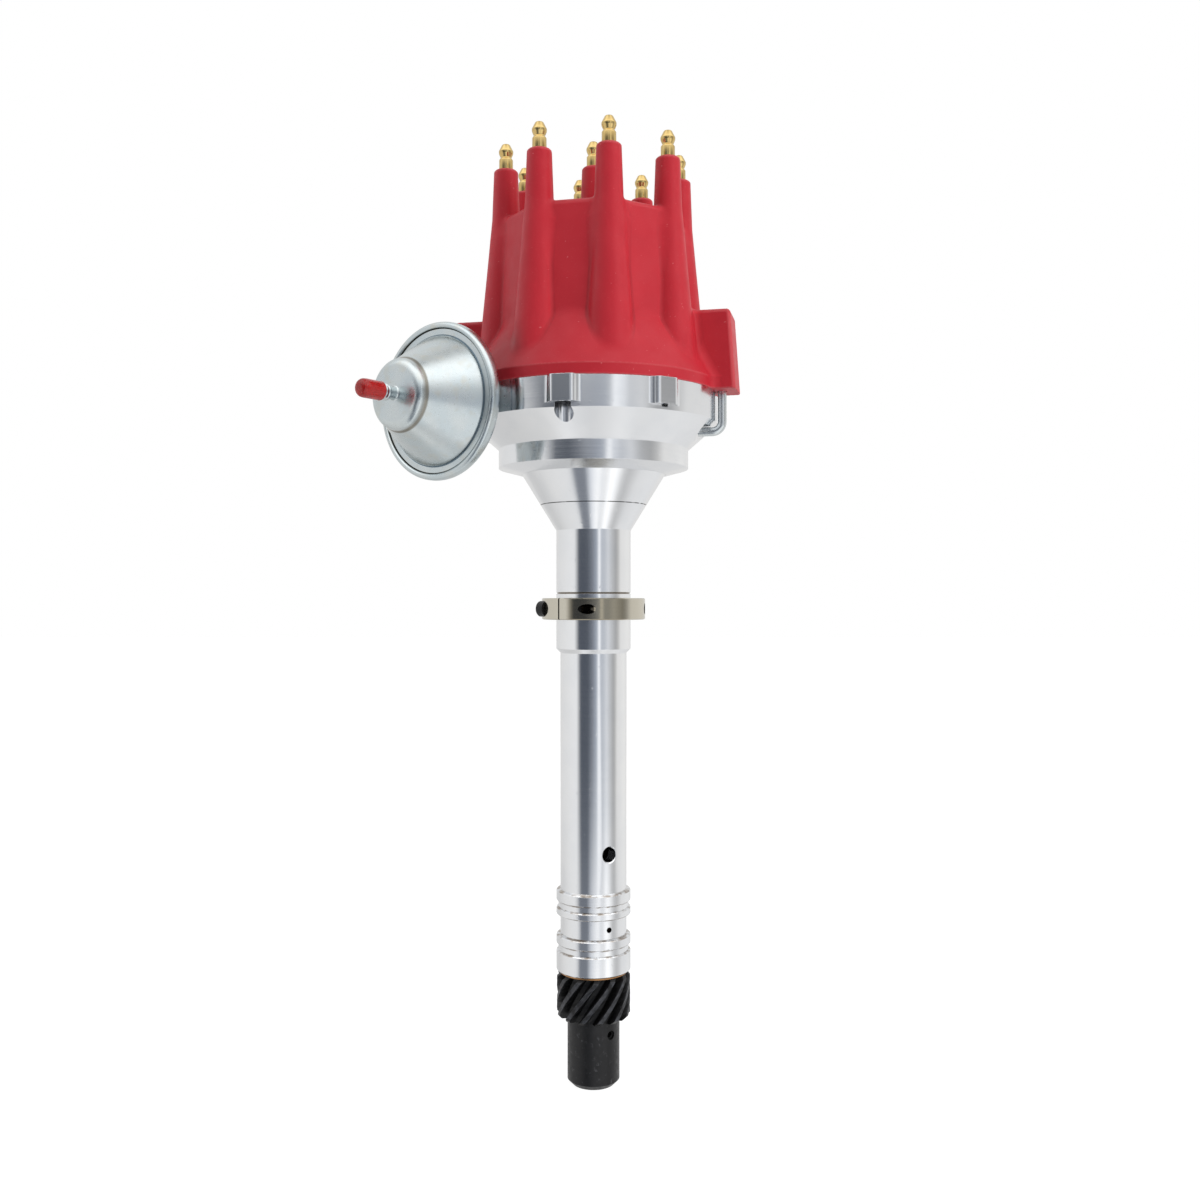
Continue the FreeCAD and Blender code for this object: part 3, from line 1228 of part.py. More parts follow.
def pickup_pole():
    """Steel pole drawn towards +X: nose facing the reluctor, foot down on the plate."""
    half = POLE_WIDTH / 2
    start = RELUCTOR_RADIUS + POLE_GAP
    middle = coil_height()
    bar = block(start, POLE_REACH, -half, half, middle - POLE_HEIGHT / 2, middle + POLE_HEIGHT / 2)
    foot = block(POLE_REACH - POLE_FOOT, POLE_REACH, -POLE_WIDTH, POLE_WIDTH,
                 pickup_top, middle + POLE_HEIGHT / 2)
    return facing(bar.fuse(foot), pickup_angle())


def pickup_coil():
    middle = coil_height()
    start = RELUCTOR_RADIUS + POLE_GAP + COIL_FROM_TIP
    end = start + COIL_LENGTH
    body = rod(COIL_RADIUS, Vector(start, 0, middle), Vector(end, 0, middle))
    half = POLE_WIDTH / 2 + SEAT_CLEARANCE
    tall = POLE_HEIGHT / 2 + SEAT_CLEARANCE
    core = block(start, end, -half, half, middle - tall, middle + tall)
    return facing(body.cut(core), pickup_angle())


# Ignition module and harness outlet

def module_screw_places():
    places = []
    spread = MODULE_SPAN / 2 - MODULE_SCREW_END_ANGLE
    for side in (-1, 1):
        centre = polar(module_screw_circle, MODULE_ANGLE + side * spread)
        places.append((centre.x, centre.y))
    return places


def ignition_module():
    ring = tube(module_outer_radius, MODULE_INNER_RADIUS, floor, floor + MODULE_HEIGHT)
    half = math.radians(MODULE_SPAN / 2)
    reach = (module_outer_radius + CUT_MARGIN) / math.cos(half)
    wedge = prism([(0, 0), (reach * math.cos(half), -reach * math.sin(half)),
                   (reach, 0), (reach * math.cos(half), reach * math.sin(half))],
                  floor, floor + MODULE_HEIGHT)
    body = ring.common(facing(wedge, MODULE_ANGLE))
    holes = [disc(MODULE_SCREW_RADIUS + SCREW_CLEARANCE, floor, floor + MODULE_HEIGHT, place)
             for place in module_screw_places()]
    return body.cut(holes)


def module_screws():
    seat = floor + MODULE_HEIGHT
    screws = []
    for place in module_screw_places():
        shank = disc(MODULE_SCREW_RADIUS, floor - MODULE_SCREW_BITE, seat, place)
        head = disc(MODULE_SCREW_HEAD, seat, seat + MODULE_SCREW_HEAD_HEIGHT, place)
        screws.append(head.fuse(shank))
    return Part.makeCompound(screws)


def harness_grommet():
    """Rubber spool in the bowl's side, drawn towards +X."""
    height = rim - OUTLET_BELOW_RIM
    start = upper_well_radius
    bead = GROMMET_FLANGE_THICKNESS
    flange = OUTLET_RADIUS + GROMMET_FLANGE
    body = rod(OUTLET_RADIUS - GROMMET_FIT, Vector(start - bead, 0, height),
               Vector(BOWL_RADIUS + bead, 0, height))
    outer = rod(flange, Vector(BOWL_RADIUS + GROMMET_FIT, 0, height),
                Vector(BOWL_RADIUS + bead, 0, height))
    hollow = rod(GROMMET_CORE_RADIUS, Vector(start - bead, 0, height),
                 Vector(BOWL_RADIUS + bead, 0, height))
    return facing(body.fuse(outer).cut(hollow), OUTLET_ANGLE)


# Vacuum canister, turned about its own x axis

def turned_on_axis(points):
    """Solid turned about x from (x, radius) points, in the canister's frame."""
    corners = [Vector(x, 0, radius) for x, radius in points]
    outline = Part.makePolygon(corners + corners[:1])
    return Part.Face(outline).revolve(Vector(0, 0, 0), Vector(1, 0, 0), 360)


def pressed(points, skin):
    """Sheet part turned about x: its outer face goes through (x, radius) points."""
    profile = Part.makePolygon([Vector(x, 0, radius) for x, radius in points])
    section = profile.makeOffset2D(skin, 2, True, True, False)
    return section.revolve(Vector(0, 0, 0), Vector(1, 0, 0), 360)


def vacuum_front_shell():
    face = NOSE_REACH
    side = NOSE_REACH - NOSE_SIDE
    flat = RIM_HALF_WIDTH - SHELL_THICKNESS
    base = RIM_RADIUS - RIM_FOLD - SHELL_FLAT_WIDTH
    bevel = NOSE_ROUND * (1 - math.sqrt(0.5))
    shell = pressed([
        (face, NIPPLE_RADIUS + SEAT_CLEARANCE), (face, NOSE_RADIUS - NOSE_ROUND),
        (face - bevel, NOSE_RADIUS - bevel), (face - NOSE_ROUND, NOSE_RADIUS),
        (side, NOSE_RADIUS), (flat, base), (flat, RIM_RADIUS - SHELL_THICKNESS - RIM_LAP),
    ], SHELL_THICKNESS)
    return in_canister_frame(shell)


def vacuum_rear_shell():
    front = RIM_HALF_WIDTH
    back = -RIM_HALF_WIDTH
    shell = pressed([
        (front, RIM_RADIUS - RIM_FOLD), (front, RIM_RADIUS - RIM_ROUND),
        (front - RIM_ROUND, RIM_RADIUS), (back + RIM_ROUND, RIM_RADIUS),
        (back, RIM_RADIUS - RIM_ROUND), (back, REAR_SHOULDER_RADIUS),
        (-REAR_DEPTH, REAR_FACE_RADIUS), (-REAR_DEPTH, ROD_PASS_RADIUS),
    ], SHELL_THICKNESS)
    return in_canister_frame(shell)


def vacuum_diaphragm():
    """Thin rubber cup whose thick edge is clamped between the two shells."""
    low = -RIM_HALF_WIDTH + SHELL_THICKNESS
    high = RIM_HALF_WIDTH - 2 * SHELL_THICKNESS
    outside = RIM_RADIUS - SHELL_THICKNESS - RIM_LAP
    inside = outside - DIAPHRAGM_BEAD_WIDTH
    web = (low + high + DIAPHRAGM_THICKNESS) / 2
    cup = -DIAPHRAGM_CUP_DEPTH + DIAPHRAGM_THICKNESS
    sheet = pressed([
        (cup, ROD_STUD_RADIUS + SEAT_CLEARANCE), (cup, DIAPHRAGM_CUP_RADIUS), (web, inside),
        (web, outside),
    ], DIAPHRAGM_THICKNESS)
    bead = turned_on_axis([(low, inside), (high, inside), (high, outside), (low, outside)])
    return in_canister_frame(sheet.fuse(bead))


def actuator_rod():
    """Flat rod with an eye, riveted through the diaphragm with a washer on each side."""
    cup = -DIAPHRAGM_CUP_DEPTH
    front_seat = cup + DIAPHRAGM_THICKNESS + SEAT_CLEARANCE
    rear_seat = cup - SEAT_CLEARANCE
    washer = ROD_WASHER_THICKNESS
    front_end = Vector(front_seat + washer, 0, 0)
    rear_end = Vector(rear_seat - washer, 0, 0)
    front = rod(ROD_WASHER_RADIUS, Vector(front_seat, 0, 0), front_end)
    rear = rod(ROD_WASHER_RADIUS, rear_end, Vector(rear_seat, 0, 0))
    stud = rod(ROD_STUD_RADIUS, rear_end, front_end)
    half = ROD_WIDTH / 2
    flat = ROD_THICKNESS / 2
    eye_centre = -canister_reach
    strip = block(eye_centre, rear_end.x, -half, half, -flat, flat)
    eye_hole = PLATE_PIN_RADIUS + ROD_EYE_CLEARANCE
    eye = disc(eye_hole + ROD_EYE_WALL, -flat, flat, (eye_centre, 0.0))
    hole = disc(eye_hole, -flat, flat, (eye_centre, 0.0))
    body = front.fuse([rear, stud, strip, eye]).cut(hole)
    return in_canister_frame(body)


def diaphragm_spring():
    low = -DIAPHRAGM_CUP_DEPTH + DIAPHRAGM_THICKNESS + SEAT_CLEARANCE + ROD_WASHER_THICKNESS
    high = NOSE_REACH - SHELL_THICKNESS
    spring = coil_spring(CANISTER_SPRING_RADIUS, CANISTER_SPRING_WIRE, low, high,
                         CANISTER_SPRING_TURNS)
    spring.rotate(Vector(0, 0, 0), Vector(0, 1, 0), 90)
    return in_canister_frame(spring)


def vacuum_nipple():
    start = NOSE_REACH - SHELL_THICKNESS
    face = NOSE_REACH
    bead_high = face + NIPPLE_BEAD_WIDTH
    bevel = NIPPLE_BEAD_EDGE
    tube_body = turned_on_axis([
        (start, NIPPLE_BORE), (start, NIPPLE_RADIUS), (face, NIPPLE_RADIUS),
        (face, NIPPLE_BEAD_RADIUS - bevel), (face + bevel, NIPPLE_BEAD_RADIUS),
        (bead_high - bevel, NIPPLE_BEAD_RADIUS), (bead_high, NIPPLE_BEAD_RADIUS - bevel),
        (bead_high, NIPPLE_RADIUS), (face + NIPPLE_LENGTH, NIPPLE_RADIUS),
        (face + NIPPLE_LENGTH, NIPPLE_BORE),
    ])
    return in_canister_frame(tube_body)


def nipple_cap():
    start = NOSE_REACH + NIPPLE_CAP_START
    end = start + NIPPLE_CAP_LENGTH
    inner = NIPPLE_RADIUS + NIPPLE_CAP_CLEARANCE
    wall_end = NOSE_REACH + NIPPLE_LENGTH + NIPPLE_CAP_END_GAP
    body = turned_on_axis([
        (start, inner), (start, NIPPLE_CAP_RADIUS), (end, NIPPLE_CAP_RADIUS), (end, 0),
        (wall_end, 0), (wall_end, inner),
    ])
    tip = [e for e in body.Edges if e.BoundBox.XMin > end - EDGE_REACH]
    return in_canister_frame(body.makeFillet(NIPPLE_CAP_ROUND, tip))


def bracket_plane():
    """Underside of the bracket's arm, in the canister's frame."""
    return ledge - canister_height


def bracket_screw_places():
    places = []
    for side in (-1, 1):
        across = canister_offset + side * BRACKET_SCREW_SPREAD
        along = math.sqrt(bracket_screw_circle ** 2 - across ** 2)
        point = canister_placement().multVec(
            Vector(along - canister_reach, canister_offset - across, 0))
        places.append((point.x, point.y))
    return places


def canister_bracket():
    thick = BRACKET_THICKNESS
    low = bracket_plane()
    back = -REAR_DEPTH
    half = BRACKET_ARM_WIDTH / 2
    flange_half = BRACKET_FLANGE_WIDTH / 2
    flange = block(back - thick, back, -flange_half, flange_half, low, low + BRACKET_FLANGE_HEIGHT)
    arm = block(-canister_reach / 2, back, -half, half, low, low + thick)
    window = rod(ROD_PASS_RADIUS, Vector(back - thick, 0, 0), Vector(back, 0, 0))
    outline = in_canister_frame(flange.fuse(arm).cut(window))
    foot_ring = tube(upper_well_radius - LAYER_GAP, well_radius + LAYER_GAP, ledge, ledge + thick)
    wide = BRACKET_FOOT_HALF_WIDTH
    foot_box = block(-canister_reach, -half, -wide, wide, low, low + thick)
    foot = foot_ring.common(in_canister_frame(foot_box))
    holes = [disc(BRACKET_SCREW_RADIUS + SCREW_CLEARANCE, ledge, ledge + thick, place)
             for place in bracket_screw_places()]
    return outline.fuse(foot).cut(holes)


def bracket_screws():
    seat = ledge + BRACKET_THICKNESS
    screws = []
    for place in bracket_screw_places():
        shank = disc(BRACKET_SCREW_RADIUS, ledge - BRACKET_SCREW_BITE, seat, place)
        head = disc(BRACKET_SCREW_HEAD, seat, seat + BRACKET_SCREW_HEAD_HEIGHT, place)
        screws.append(head.fuse(shank))
    return Part.makeCompound(screws)


def build():
    os.makedirs("parts", exist_ok=True)
    save("housing_stem", housing_stem())
    save("housing_bowl", housing_bowl())
    save("lower_bushing", lower_bushing())
    save("upper_bushing", upper_bushing())
    save("main_shaft", main_shaft())
    save("drive_gear", drive_gear())
    save("gear_roll_pin", gear_roll_pin())
    save("gear_thrust_washer", gear_thrust_washer())
    save("slip_collar", slip_collar())
    save("collar_clamp_screw", collar_clamp_screw())
    save("collar_set_screw", collar_set_screw())
    save("distributor_cap", distributor_cap())
    save("plug_terminals", plug_terminals())
    save("coil_terminal", coil_terminal())
    save("carbon_button", carbon_button())
    save("carbon_button_spring", carbon_button_spring())
    for name, angle in zip(("right", "left"), EAR_ANGLES):
        save("latch_rod_" + name, latch_rod(angle))
        save("latch_washer_" + name, latch_washer(angle))
        save("latch_spring_" + name, latch_spring(angle))
    save("rotor", rotor())
    save("rotor_contact", rotor_contact())
    save("rotor_screws", rotor_screws())
    save("advance_sleeve", advance_sleeve())
    save("weight_pins", weight_pins())
    for name, weight in zip(("a", "b"), flyweights()):
        save("flyweight_" + name, weight)
    for name, spring in zip(("a", "b"), advance_springs()):
        save("advance_spring_" + name, spring)
    save("advance_cam", advance_cam())
    save("cam_clip", cam_clip())
    save("upper_thrust_washer", upper_thrust_washer())
    save("reluctor", reluctor())
    save("pickup_plate", pickup_plate())
    save("pickup_pole", pickup_pole())
    save("pickup_coil", pickup_coil())
    save("ignition_module", ignition_module())
    save("module_screws", module_screws())
    save("harness_grommet", harness_grommet())
    save("vacuum_front_shell", vacuum_front_shell())
    save("vacuum_rear_shell", vacuum_rear_shell())
    save("vacuum_diaphragm", vacuum_diaphragm())
    save("diaphragm_spring", diaphragm_spring())
    save("actuator_rod", actuator_rod())
    save("vacuum_nipple", vacuum_nipple())
    save("nipple_cap", nipple_cap())
    save("canister_bracket", canister_bracket())
    save("bracket_screws", bracket_screws())


build()
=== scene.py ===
import math

import bmesh
import bpy
import numpy as np
from mathutils import Matrix, Vector


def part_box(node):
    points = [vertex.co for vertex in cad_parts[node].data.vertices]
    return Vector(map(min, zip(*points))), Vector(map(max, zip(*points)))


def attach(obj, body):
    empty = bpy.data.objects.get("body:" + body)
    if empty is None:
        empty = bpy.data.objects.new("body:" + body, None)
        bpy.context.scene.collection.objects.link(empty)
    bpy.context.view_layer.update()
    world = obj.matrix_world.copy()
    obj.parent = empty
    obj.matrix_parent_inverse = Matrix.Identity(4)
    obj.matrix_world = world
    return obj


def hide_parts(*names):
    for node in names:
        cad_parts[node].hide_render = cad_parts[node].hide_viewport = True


# Looks of an ignition distributor. Sizes are in millimetres, as in the part's source, and the
# meshes are made in metres. Angles count from the front (-Y), positive towards +X.

MM = 0.001

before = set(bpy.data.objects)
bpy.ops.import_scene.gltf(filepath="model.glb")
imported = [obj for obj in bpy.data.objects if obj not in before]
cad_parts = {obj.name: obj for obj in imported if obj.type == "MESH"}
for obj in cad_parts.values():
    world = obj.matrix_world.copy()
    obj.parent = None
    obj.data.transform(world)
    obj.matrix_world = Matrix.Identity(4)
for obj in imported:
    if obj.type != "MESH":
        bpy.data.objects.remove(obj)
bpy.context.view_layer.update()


def top(node):
    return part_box(node)[1][2] / MM


def bottom(node):
    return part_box(node)[0][2] / MM


# Heights read from the frame
rim = bottom("distributor_cap")
terminal_top = top("plug_terminals")
coil_top = top("coil_terminal")
canister_height = (top("vacuum_rear_shell") + bottom("vacuum_rear_shell")) / 2
collar_middle = (top("slip_collar") + bottom("slip_collar")) / 2
gear_low = bottom("drive_gear")


# Shader nodes that the studio and the materials share

def math_node(tree, operation, *values):
    node = tree.nodes.new("ShaderNodeMath")
    node.operation = operation
    for socket, value in zip(node.inputs, values):
        if isinstance(value, (int, float)):
            socket.default_value = value
        else:
            tree.links.new(value, socket)
    return node.outputs[0]


def mix_shaders(tree, share, first, second):
    node = tree.nodes.new("ShaderNodeMixShader")
    for socket, output in zip(node.inputs, (share, first, second)):
        tree.links.new(output, socket)
    return node.outputs[0]


def blend_colors(tree, share, first, second):
    node = tree.nodes.new("ShaderNodeMix")
    node.data_type = "RGBA"
    tree.links.new(share, node.inputs[0])
    tree.links.new(first, node.inputs[6])
    tree.links.new(second, node.inputs[7])
    return node.outputs[2]


def color_ramp(tree, value, steps):
    """Straight run of colours, from (position, colour) steps."""
    ramp = tree.nodes.new("ShaderNodeValToRGB")
    tree.links.new(value, ramp.inputs[0])
    elements = ramp.color_ramp.elements
    elements.remove(elements[1])
    for position, color in steps:
        element = elements[0] if position == steps[0][0] else elements.new(position)
        element.position = position
        element.color = (*color, 1.0)
    return ramp.outputs["Color"]


def smooth_step(tree, value, span):
    """Smooth rise from 0 to 1 as a value goes from the first to the second limit."""
    node = tree.nodes.new("ShaderNodeMapRange")
    node.interpolation_type = "SMOOTHSTEP"
    node.inputs["From Min"].default_value, node.inputs["From Max"].default_value = span
    tree.links.new(value, node.inputs["Value"])
    return node.outputs["Result"]


# Camera

CAMERA_PLACE = (2.76, -510.0, 152.05)
FOCAL_LENGTH = 36.0
SENSOR_WIDTH = 36.0
NEAREST_SEEN = 10.0


def make_camera():
    lens = bpy.data.cameras.new("camera")
    lens.lens = FOCAL_LENGTH
    lens.sensor_width = SENSOR_WIDTH
    lens.clip_start = NEAREST_SEEN * MM
    camera = bpy.data.objects.new("camera", lens)
    camera.location = Vector(CAMERA_PLACE) * MM
    camera.rotation_euler = (math.pi / 2, 0.0, 0.0)
    bpy.context.collection.objects.link(camera)
    bpy.context.scene.camera = camera
    bpy.context.scene.view_settings.view_transform = "Standard"


# Studio: angle from the front, brightness and blue tint of what polished metal sees around it,
# looking level, a little up and down
LEVEL_BANDS = (
    (-180, 0.60, 0.99), (-110, 0.70, 0.99), (-60, 0.76, 1.00), (-45, 0.08, 1.25),
    (-18, 0.08, 1.25), (-4, 0.16, 1.20), (8, 0.32, 1.16), (13, 0.45, 1.12), (16, 0.90, 1.02),
    (20, 0.86, 1.02), (24, 0.46, 1.10), (34, 0.48, 1.08), (46, 0.62, 1.04), (60, 0.48, 1.02),
    (73, 0.36, 1.00), (82, 0.46, 0.98), (92, 0.70, 0.98), (130, 0.75, 0.98), (180, 0.60, 0.99),
)
UPPER_BANDS = (
    (-180, 0.62, 1.00), (-90, 0.66, 1.03), (-72, 0.62, 1.03), (-62, 0.32, 1.05), (-54, 0.26, 1.08),
    (-30, 0.12, 1.12), (-20, 0.26, 1.10), (-8, 0.46, 1.05), (2, 0.38, 1.08), (15, 0.36, 1.08),
    (19, 0.88, 1.02), (27, 0.84, 1.02), (33, 0.56, 1.02), (45, 0.60, 1.00), (52, 0.40, 1.00),
    (60, 0.24, 1.00), (70, 0.28, 1.00), (80, 0.46, 1.00), (94, 0.64, 0.99), (180, 0.62, 1.00),
)
LOWER_BANDS = (
    (-180, 0.58, 1.00), (-130, 0.55, 0.99), (-96, 0.68, 0.99), (-58, 0.72, 1.00), (-50, 0.62, 1.02),
    (-42, 0.20, 1.14), (-20, 0.20, 1.14), (-8, 0.66, 1.06), (2, 0.84, 1.02), (12, 0.96, 1.00),
    (22, 0.78, 1.02), (32, 0.80, 1.00), (44, 1.10, 1.00), (56, 0.92, 1.00), (66, 0.60, 1.00),
    (76, 0.48, 1.00), (86, 0.56, 1.00), (98, 0.68, 1.00), (130, 0.72, 1.00), (180, 0.58, 1.00),
)
# Height of a direction, from straight down (-1) to straight up (1), and its brightness,
# before and behind the object
FRONT_HEIGHTS = (
    (-1.0, 0.60), (-0.97, 0.74), (-0.90, 0.90), (-0.60, 1.10), (0.0, 0.66), (0.24, 0.80),
    (0.50, 1.00), (0.68, 1.30), (0.88, 1.36), (0.95, 1.15), (0.985, 0.66), (1.0, 0.50),
)
BACK_HEIGHTS = (
    (-1.0, 0.80), (-0.90, 0.80), (-0.50, 0.60), (0.40, 0.66), (0.80, 0.76), (0.95, 0.68),
    (1.0, 0.50),
)
# Heights of a direction between which the level bands give way to the two others, and all
# bands to the table of heights
UPPER_START = (0.125, 0.155)
LOWER_START = (-0.16, -0.27)
BAND_END_UP = (0.24, 0.50)
BAND_END_DOWN = (-0.90, -0.985)
# Depths of a direction, from front (-1) to back (1), between which the back's heights take over
BACK_START = (-0.10, 0.25)
MIRRORED_STRENGTH = 1.25
# Power of a blue tint by which the red is divided
RED_LOSS = 0.6
# Angle from the front and brightness of the soft light on matt surfaces, and its blue tint
FILL_BANDS = (
    (-180, 0.40), (-95, 0.38), (-60, 0.23), (-22, 0.14), (10, 0.18), (60, 0.28), (180, 0.40),
)
FILL_TINT = 1.015


def band_ramp(tree, share, bands):
    """Colours round the horizon, from (angle, brightness, blue tint) bands."""
    return color_ramp(tree, share, [
        ((angle + 180) / 360, (level / tint ** RED_LOSS, level, level * tint))
        for angle, level, tint in bands])


def height_ramp(tree, height, steps):
    return color_ramp(tree, height, [((z + 1) / 2, (level, level, level)) for z, level in steps])


def mirrored_colors(tree, share, back, up):
    """What polished metal sees, by the direction's angle, depth and height."""
    bands = band_ramp(tree, share, LEVEL_BANDS)
    for start, other in ((UPPER_START, UPPER_BANDS), (LOWER_START, LOWER_BANDS)):
        bands = blend_colors(tree, smooth_step(tree, up, start), bands, band_ramp(tree, share, other))
    height = math_node(tree, "MULTIPLY_ADD", up, 0.5, 0.5)
    heights = blend_colors(tree, smooth_step(tree, back, BACK_START),
                           height_ramp(tree, height, FRONT_HEIGHTS),
                           height_ramp(tree, height, BACK_HEIGHTS))
    steep = math_node(tree, "ADD", smooth_step(tree, up, BAND_END_UP),
                      smooth_step(tree, up, BAND_END_DOWN))
    return blend_colors(tree, steep, bands, heights)


def background(tree, color=None, strength=1.0):
    """Shader of the world in a colour, or in plain white."""
    node = tree.nodes.new("ShaderNodeBackground")
    node.inputs["Color"].default_value = (1.0, 1.0, 1.0, 1.0)
    node.inputs["Strength"].default_value = strength
    if color is not None:
        tree.links.new(color, node.inputs["Color"])
    return node.outputs[0]


def make_world():
    world = bpy.data.worlds.new("studio")
    bpy.context.scene.world = world
    world.use_nodes = True
    tree = world.node_tree
    tree.nodes.clear()
    place = tree.nodes.new("ShaderNodeTexCoord")
    split = tree.nodes.new("ShaderNodeSeparateXYZ")
    tree.links.new(place.outputs["Generated"], split.inputs[0])
    back, up = split.outputs["Y"], split.outputs["Z"]
    turn = math_node(tree, "ARCTAN2", split.outputs["X"], math_node(tree, "MULTIPLY", back, -1.0))
    share = math_node(tree, "MULTIPLY_ADD", turn, 1 / (2 * math.pi), 0.5)
    mirrored = background(tree, mirrored_colors(tree, share, back, up), MIRRORED_STRENGTH)
    fill = background(tree, band_ramp(tree, share, [(*step, FILL_TINT) for step in FILL_BANDS]))
    rays = tree.nodes.new("ShaderNodeLightPath").outputs
    shiny = math_node(tree, "MAXIMUM", rays["Is Glossy Ray"], rays["Is Transmission Ray"])
    unseen = mix_shaders(tree, shiny, fill, mirrored)
    out = tree.nodes.new("ShaderNodeOutputWorld")
    tree.links.new(mix_shaders(tree, rays["Is Camera Ray"], unseen, background(tree)), out.inputs[0])


# Lamps: name, place and size in metres, and watts
LAMP_AIM = (0.0, 0.0, 0.16)
LAMPS = (
    ("key_light", (0.86, -0.68, 0.58), (0.6, 0.6), 7.6),
    ("top_light", (0.15, -0.25, 1.45), (0.5, 0.5), 4.5),
    ("fill_light", (-1.0, -0.05, 0.45), (0.6, 0.8), 3.1),
    ("back_light", (0.1, 0.9, 0.7), (0.8, 0.5), 3.0),
)


def soft_box(name, place, size, watts):
    light = bpy.data.lights.new(name, "AREA")
    light.shape = "RECTANGLE"
    light.size, light.size_y = size
    light.energy = watts
    lamp = bpy.data.objects.new(name, light)
    lamp.location = place
    lamp.rotation_euler = (Vector(LAMP_AIM) - Vector(place)).to_track_quat("-Z", "Y").to_euler()
    lamp.visible_glossy = False
    bpy.context.collection.objects.link(lamp)


# Floor: half its side in metres, its grey, and the strength and share of the glow that keeps
# it white to the camera
FLOOR_HALF = 6.0
FLOOR_GREY = 0.85
FLOOR_GLOW = 1.31
FLOOR_GLOW_SHARE = 0.72


def pale_floor():
    material = bpy.data.materials.new("pale_floor")
    material.use_nodes = True
    tree = material.node_tree
    tree.nodes.clear()
    glow = tree.nodes.new("ShaderNodeEmission")
    glow.inputs["Color"].default_value = (1.0, 1.0, 1.0, 1.0)
    glow.inputs["Strength"].default_value = FLOOR_GLOW
    matt = tree.nodes.new("ShaderNodeBsdfDiffuse")
    matt.inputs["Color"].default_value = (FLOOR_GREY, FLOOR_GREY, FLOOR_GREY, 1.0)
    rays = tree.nodes.new("ShaderNodeLightPath").outputs
    direct = math_node(tree, "MAXIMUM", rays["Is Camera Ray"], rays["Is Glossy Ray"])
    direct = math_node(tree, "MAXIMUM", direct, rays["Is Transmission Ray"])
    share = math_node(tree, "MULTIPLY", direct, FLOOR_GLOW_SHARE)
    out = tree.nodes.new("ShaderNodeOutputMaterial")
    tree.links.new(mix_shaders(tree, share, matt.outputs[0], glow.outputs[0]), out.inputs[0])
    return material


def make_floor():
    mesh = bpy.data.meshes.new("floor")
    signs = ((-1, -1), (1, -1), (1, 1), (-1, 1))
    corners = [(x * FLOOR_HALF, y * FLOOR_HALF, gear_low * MM) for x, y in signs]
    mesh.from_pydata(corners, [], [(0, 1, 2, 3)])
    mesh.materials.append(pale_floor())
    floor = bpy.data.objects.new("floor", mesh)
    floor.visible_glossy = False
    bpy.context.collection.objects.link(floor)


# Materials

